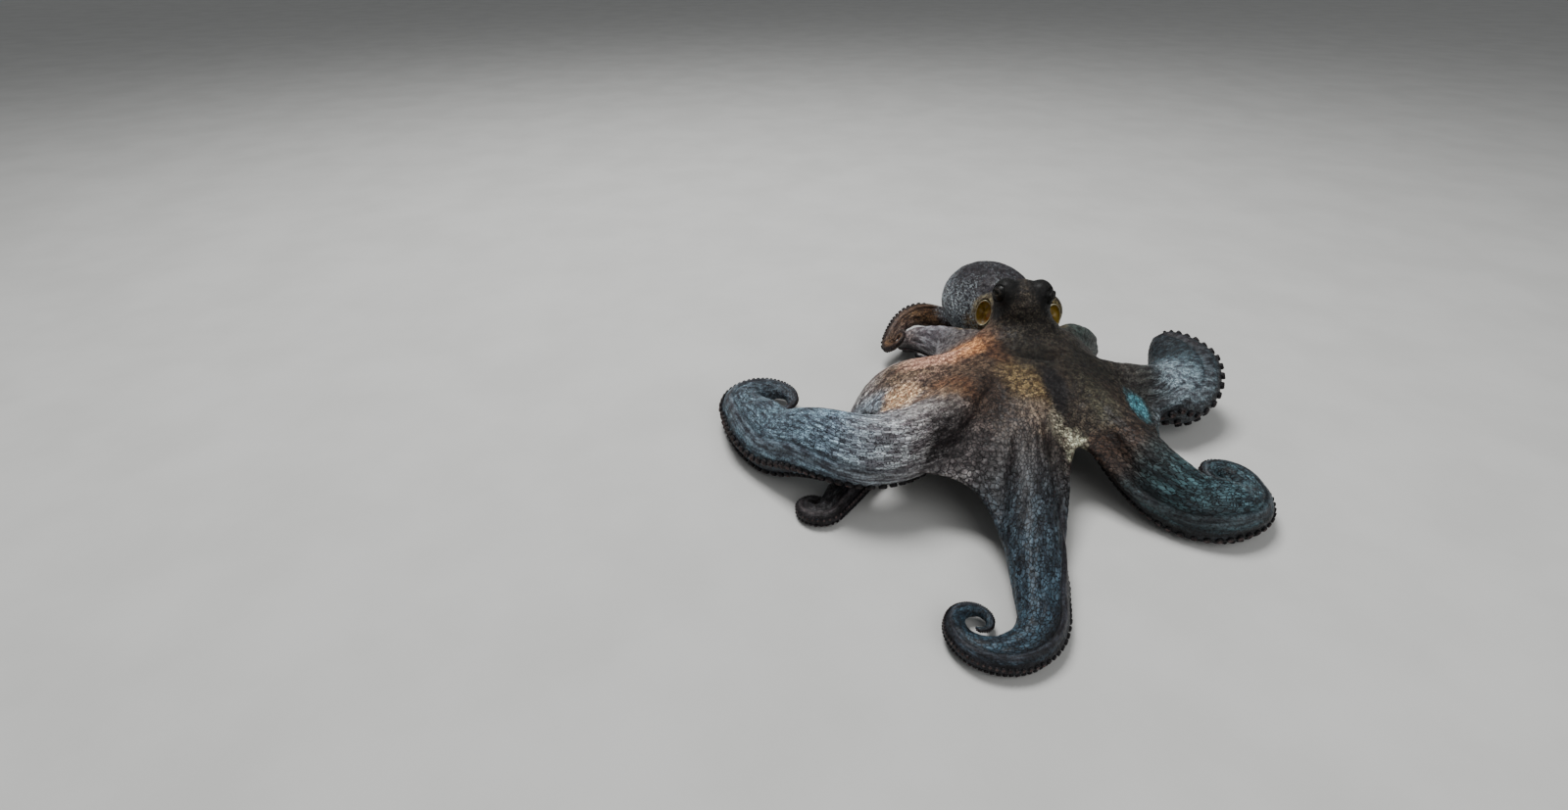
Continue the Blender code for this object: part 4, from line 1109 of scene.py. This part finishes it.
# ---------------------------------------------------------------- materials
class Nodes:
    """Short ways to make and join shader nodes in one material."""

    def __init__(self, name):
        self.material = bpy.data.materials.new(name)
        self.material.use_nodes = True
        self.tree = self.material.node_tree

    def feed(self, socket, value):
        """Links an output to the socket, or sets the socket to a number, vector or colour."""
        if isinstance(value, bpy.types.NodeSocket):
            self.tree.links.new(value, socket)
        elif socket.type == "RGBA":
            socket.default_value = [*value[:3], 1.0]
        else:
            socket.default_value = value

    def add(self, kind, inputs=None, **settings):
        """A node with these settings and what its inputs take."""
        node = self.tree.nodes.new(kind)
        for key, value in settings.items():
            setattr(node, key, value)
        for key, value in (inputs or {}).items():
            self.feed(node.inputs[key], value)
        return node

    def attribute(self, name, output="Fac"):
        return self.add("ShaderNodeAttribute", attribute_name=name).outputs[output]

    def place(self):
        return self.add("ShaderNodeTexCoord").outputs["Object"]

    def noise(self, scale, detail=3.0, rough=0.55, where=None, output="Fac"):
        inputs = {"Vector": where or self.place(), "Scale": scale, "Detail": detail, "Roughness": rough}
        return self.add("ShaderNodeTexNoise", inputs).outputs[output]

    def voronoi(self, scale, feature="F1", where=None, output="Distance"):
        inputs = {"Vector": where or self.place(), "Scale": scale}
        return self.add("ShaderNodeTexVoronoi", inputs, feature=feature).outputs[output]

    def vector(self, operation, a, b):
        return self.add("ShaderNodeVectorMath", {0: a, 1: b}, operation=operation).outputs[0]

    def math(self, operation, a, b=0.0):
        return self.add("ShaderNodeMath", {0: a, 1: b}, operation=operation).outputs[0]

    def ramp(self, value, low, high, bottom=0.0, top=1.0):
        inputs = {"Value": value, "From Min": low, "From Max": high, "To Min": bottom, "To Max": top}
        return self.add("ShaderNodeMapRange", inputs, interpolation_type="SMOOTHSTEP").outputs["Result"]

    def mix(self, share, a, b, blend="MIX"):
        """A colour between a and b."""
        inputs = {0: share, 6: a, 7: b}
        return self.add("ShaderNodeMix", inputs, data_type="RGBA", blend_type=blend).outputs[2]

    def blend(self, share, a, b):
        """A number between a and b."""
        return self.add("ShaderNodeMix", {0: share, 2: a, 3: b}, data_type="FLOAT").outputs[0]

    def uneven(self, scale, first, second, detail=4.0, low=0.3, high=0.7):
        """Two display colours mixed by noise."""
        return self.mix(self.ramp(self.noise(scale, detail), low, high), srgb(*first), srgb(*second))

    def tinted(self, colour, strength):
        """The colour made brighter or darker by a number."""
        grey = (strength,) * 3
        if not isinstance(strength, float):
            grey = self.add("ShaderNodeCombineColor", dict(enumerate(grey))).outputs[0]
        return self.mix(1.0, colour, grey, "MULTIPLY")

    def bump(self, height, distance, strength=1.0, under=None):
        inputs = {"Height": height, "Distance": distance, "Strength": strength}
        if under is not None:
            inputs["Normal"] = under
        return self.add("ShaderNodeBump", inputs).outputs["Normal"]

    def finish(self, **values):
        """Feeds the shader's sockets, written with _ for a space, and hands back the material."""
        shader = self.tree.nodes["Principled BSDF"]
        for key, value in values.items():
            self.feed(shader.inputs[key.replace("_", " ")], value)
        return self.material


def cells(m, where, scale):
    """Depth inside the cell and a chance tone for it, for ragged cells in the given coordinates."""
    shift = m.vector("SUBTRACT", m.noise(1.1 * scale, 2.0, 0.6, where, "Color"), (0.5, 0.5, 0.5))
    bent = m.vector("ADD", where, m.vector("MULTIPLY", shift, (0.85 / scale,) * 3))
    edge = m.voronoi(scale, "DISTANCE_TO_EDGE", bent)
    chance = m.voronoi(scale, "F1", bent, "Color")
    return edge, m.add("ShaderNodeSeparateColor", {0: chance}).outputs[0]


FLECKS_PER_METRE = (640.0, 330.0, 470.0)


def skin_material():
    """Cells in a net, mottled, streaked and flecked, over fine grain, wrinkles and folds."""
    m = Nodes("octopus_skin")
    arm, crown = m.attribute("arm_place", "Vector"), m.attribute("crown_place", "Vector")
    on_arm, on_trunk, netted = m.attribute("on_arm"), m.attribute("on_trunk"), m.attribute("netted")
    nets = zip(cells(m, crown, 1.0), cells(m, arm, 1.0), cells(m, m.place(), 1.0 / (0.48 * CELL)))
    edge, tone = (m.blend(on_trunk, m.blend(on_arm, on_crown, along_arm), trunk)
                  for on_crown, along_arm, trunk in nets)
    inside = m.blend(netted, m.ramp(m.noise(520.0), 0.35, 0.60), m.ramp(edge, 0.02, 0.14))
    colour = m.mix(inside, m.attribute("net", "Color"), m.attribute("cell", "Color"))
    tone = m.blend(on_trunk, m.ramp(tone, 0.0, 1.0, 0.62, 1.38), m.ramp(tone, 0.2, 1.0, 0.40, 1.90))
    colour = m.tinted(colour, m.blend(netted, 1.0, tone))
    patchy = m.noise(0.42, 4.0, 0.60, m.vector("MULTIPLY", arm, (0.62, 1.0, 1.0)))
    patchy = m.ramp(m.blend(on_arm, m.noise(230.0, 4.0, 0.60), patchy), 0.38, 0.65)
    colour = m.mix(patchy, m.mix(1.0, colour, (0.37, 0.32, 0.34), "MULTIPLY"), m.tinted(colour, 1.40))
    drawn_out = m.vector("MULTIPLY", arm, (0.11, 0.85, 0.85))
    streaks = m.ramp(m.noise(1.0, 4.0, 0.6, drawn_out), 0.34, 0.66, 0.58, 1.36)
    colour = m.tinted(colour, m.blend(m.attribute("streaked"), 1.0, streaks))
    specks = m.noise(1.0, 2.0, 0.5, m.vector("MULTIPLY", m.place(), FLECKS_PER_METRE))
    bright = m.math("MULTIPLY", m.ramp(specks, 0.53, 0.61), m.attribute("flecked"))
    colour = m.mix(bright, colour, srgb(176, 186, 190))
    pigment = m.ramp(m.voronoi(1500.0), 0.12, 0.34, 0.42, 0.0)
    colour = m.mix(pigment, colour, m.mix(1.0, colour, (0.32, 0.22, 0.20), "MULTIPLY"))
    grain = m.bump(m.noise(1400.0, 2.0), 0.00025, 0.55)
    wrinkles = m.bump(m.noise(520.0, 3.0), 0.0006, 0.55, grain)
    folds = m.bump(m.noise(1.0, 3.0, 0.6, drawn_out), 0.0009, 0.6, wrinkles)
    return m.finish(Base_Color=colour, Roughness=m.ramp(m.noise(420.0), 0.3, 0.7, 0.42, 0.66),
                    Normal=m.bump(inside, 0.00045, 0.6, folds), Coat_Weight=0.06, Coat_Roughness=0.30,
                    Subsurface_Weight=0.05, Subsurface_Scale=0.003, Specular_IOR_Level=0.24)


def eye_material():
    """A bronze iris darkened nearly to black as painted shade, darker outward, with a level slit pupil that
    sags at its middle.
    """
    m = Nodes("octopus_eye")
    across, up, out = m.add("ShaderNodeSeparateXYZ", {0: m.attribute("gaze", "Vector")}).outputs
    wide = m.math("MULTIPLY", across, across)
    from_axis = m.math("SQRT", m.math("ADD", wide, m.math("MULTIPLY", up, up)))
    streaks = m.noise(900.0, 4.0, 0.7)
    # the iris colours are painted shade: a bronze iris kept near black, as an eye in shadow
    iris = m.mix(m.ramp(streaks, 0.3, 0.7), srgb(20, 17, 12), srgb(48, 39, 24))
    iris = m.mix(m.ramp(from_axis, 0.28, 0.60), iris, srgb(11, 11, 10))
    off_slit = m.math("ADD", m.math("ABSOLUTE", up), m.math("MULTIPLY", wide, 0.16))
    slit = m.math("MULTIPLY", m.ramp(off_slit, 0.085, 0.125, 1.0, 0.0),
                  m.ramp(m.math("ABSOLUTE", across), 0.44, 0.50, 1.0, 0.0))
    slit = m.math("MULTIPLY", slit, m.ramp(out, 0.0, 0.1))
    return m.finish(Base_Color=m.mix(slit, iris, (0.002, 0.002, 0.002)),
                    Normal=m.bump(streaks, 0.0002, 0.35), Roughness=0.45,
                    Coat_Weight=0.05, Coat_Roughness=0.20, Specular_IOR_Level=0.15)


def opening_material():
    """Pale rim, ochre inside with rusty folds and a beige lower edge."""
    m = Nodes("mantle_opening")
    inside = m.uneven(340.0, (124, 98, 22), (156, 126, 38))
    wavy = m.math("ADD", m.attribute("fold"), m.math("MULTIPLY", m.noise(260.0), 0.3))
    inside = m.mix(m.ramp(wavy, -0.05, -0.55, 0.0, 0.85), inside, srgb(108, 62, 14))
    off_streak = m.math("ABSOLUTE", m.math("SUBTRACT", wavy, 0.30))
    streak = m.math("SUBTRACT", 1.0, m.ramp(off_streak, 0.02, 0.09))
    inside = m.mix(m.math("MULTIPLY", streak, 0.4), inside, srgb(96, 66, 16))
    inside = m.mix(m.ramp(m.attribute("height"), -0.45, -0.75, 0.0, 0.8), inside, srgb(150, 130, 96))
    rim = m.uneven(600.0, (128, 120, 94), (158, 150, 122), 3.0, 0.35, 0.65)
    return m.finish(Base_Color=m.mix(m.ramp(m.attribute("depth"), 0.02, 0.22), rim, inside),
                    Normal=m.bump(m.noise(500.0, 4.0), 0.0006, 0.4),
                    Roughness=m.ramp(m.noise(300.0), 0.3, 0.7, 0.30, 0.48),
                    Coat_Weight=0.3, Coat_Roughness=0.15, Subsurface_Weight=0.08, Subsurface_Scale=0.003)


def mouth_material():
    m = Nodes("lips")
    flesh = m.uneven(420.0, (158, 126, 116), (192, 164, 150))
    hollow = m.ramp(m.attribute("depth"), 0.3, 0.9)
    return m.finish(Base_Color=m.mix(hollow, flesh, srgb(92, 58, 54)),
                    Normal=m.bump(m.noise(900.0, 3.0), 0.0005, 0.5),
                    Roughness=m.ramp(m.noise(300.0), 0.3, 0.7, 0.34, 0.52),
                    Coat_Weight=0.3, Coat_Roughness=0.2)


def beak_material():
    m = Nodes("horn")
    streaks = m.ramp(m.noise(1100.0, 5.0), 0.3, 0.7)
    return m.finish(Base_Color=m.mix(streaks, srgb(26, 16, 12), srgb(62, 38, 24)),
                    Normal=m.bump(streaks, 0.0001, 0.4), Roughness=0.28, Coat_Weight=0.4, Coat_Roughness=0.1)


# ---------------------------------------------------------------- floor, light, camera
FLOOR_HALF = 30.0
LIT_POINT = (0.0, 0.0, 0.04)                  # both lights face it
KEY_LIGHT = ((-0.40, 0.62, 1.90), 0.8, 40.0)  # place, side of the panel, power
FILL_LIGHT = ((0.55, -1.10, 1.20), 1.6, 10.0)
SKY = (0.86, 0.88, 0.90)
SKY_STRENGTH = 0.22


def floor_material():
    m = Nodes("studio_floor")
    tone = m.mix(m.ramp(m.noise(9.0, 4.0), 0.3, 0.7), (0.61, 0.61, 0.59), (0.66, 0.66, 0.64))
    return m.finish(Base_Color=tone, Roughness=0.85)


def build_stage():
    """Floor, two soft lights and an even sky."""
    corners = [(x * FLOOR_HALF, y * FLOOR_HALF, 0.0) for x, y in ((-1, -1), (1, -1), (1, 1), (-1, 1))]
    floor = plain_object("floor", corners, [(0, 1, 2, 3)])
    floor.data.materials.append(floor_material())
    for name, (place, size, power) in (("key", KEY_LIGHT), ("fill", FILL_LIGHT)):
        lamp = bpy.data.lights.new(name, "AREA")
        lamp.shape = "SQUARE"
        lamp.size = size
        lamp.energy = power
        obj = in_scene(name, lamp)
        obj.location = place
        obj.rotation_euler = (Vector(LIT_POINT) - Vector(place)).to_track_quat("-Z", "Y").to_euler()
    world = bpy.data.worlds.new("studio")
    world.use_nodes = True
    background = world.node_tree.nodes["Background"]
    background.inputs["Color"].default_value = (*SKY, 1.0)
    background.inputs["Strength"].default_value = SKY_STRENGTH
    bpy.context.scene.world = world


CAMERA_PLACE = (-0.27795, -0.57193, 0.40086)  # in the animal's own frame
CAMERA_LENS = 17.1                            # mm, on a sensor 36 mm wide
CAMERA_PITCH = 57.3                           # degrees from straight down
CAMERA_TURN = -5.49                           # degrees about +Z


def build_camera():
    data = bpy.data.cameras.new("camera")
    data.sensor_width = 36.0
    data.lens = CAMERA_LENS
    data.clip_start = 0.01
    camera = in_scene("camera", data)
    camera.location = np.array(CAMERA_PLACE) - ORIGIN
    camera.rotation_euler = (math.radians(CAMERA_PITCH), 0.0, math.radians(CAMERA_TURN))
    bpy.context.scene.camera = camera


# ---------------------------------------------------------------- all of it
def add_piece(obj, material, nodes):
    """Moves a finished piece into the row frame and hands it to the part."""
    set_points(obj, points_of(obj) - ORIGIN)
    obj.data.materials.clear()
    obj.data.materials.append(material)
    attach(obj, "root")
    if nodes:
        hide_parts(*nodes)


def build():
    paths = {name: arm_path(arm) for name, arm in ARMS.items()}
    add_piece(build_skin(paths), skin_material(), FLESH_NODES)
    iris, funnel = eye_material(), opening_material()
    for side, label in ((-1, "right"), (1, "left")):
        add_piece(build_eye(side, label + "_eyeball"), iris, [label + "_eye"])
        cup = build_opening(side, label + "_opening_cup")
        add_piece(cup, funnel, [label + "_mantle_opening"])
    add_piece(build_mouth(), mouth_material(), ["mouth"])
    add_piece(build_beak(), beak_material(), [])
    build_stage()
    build_camera()


build()
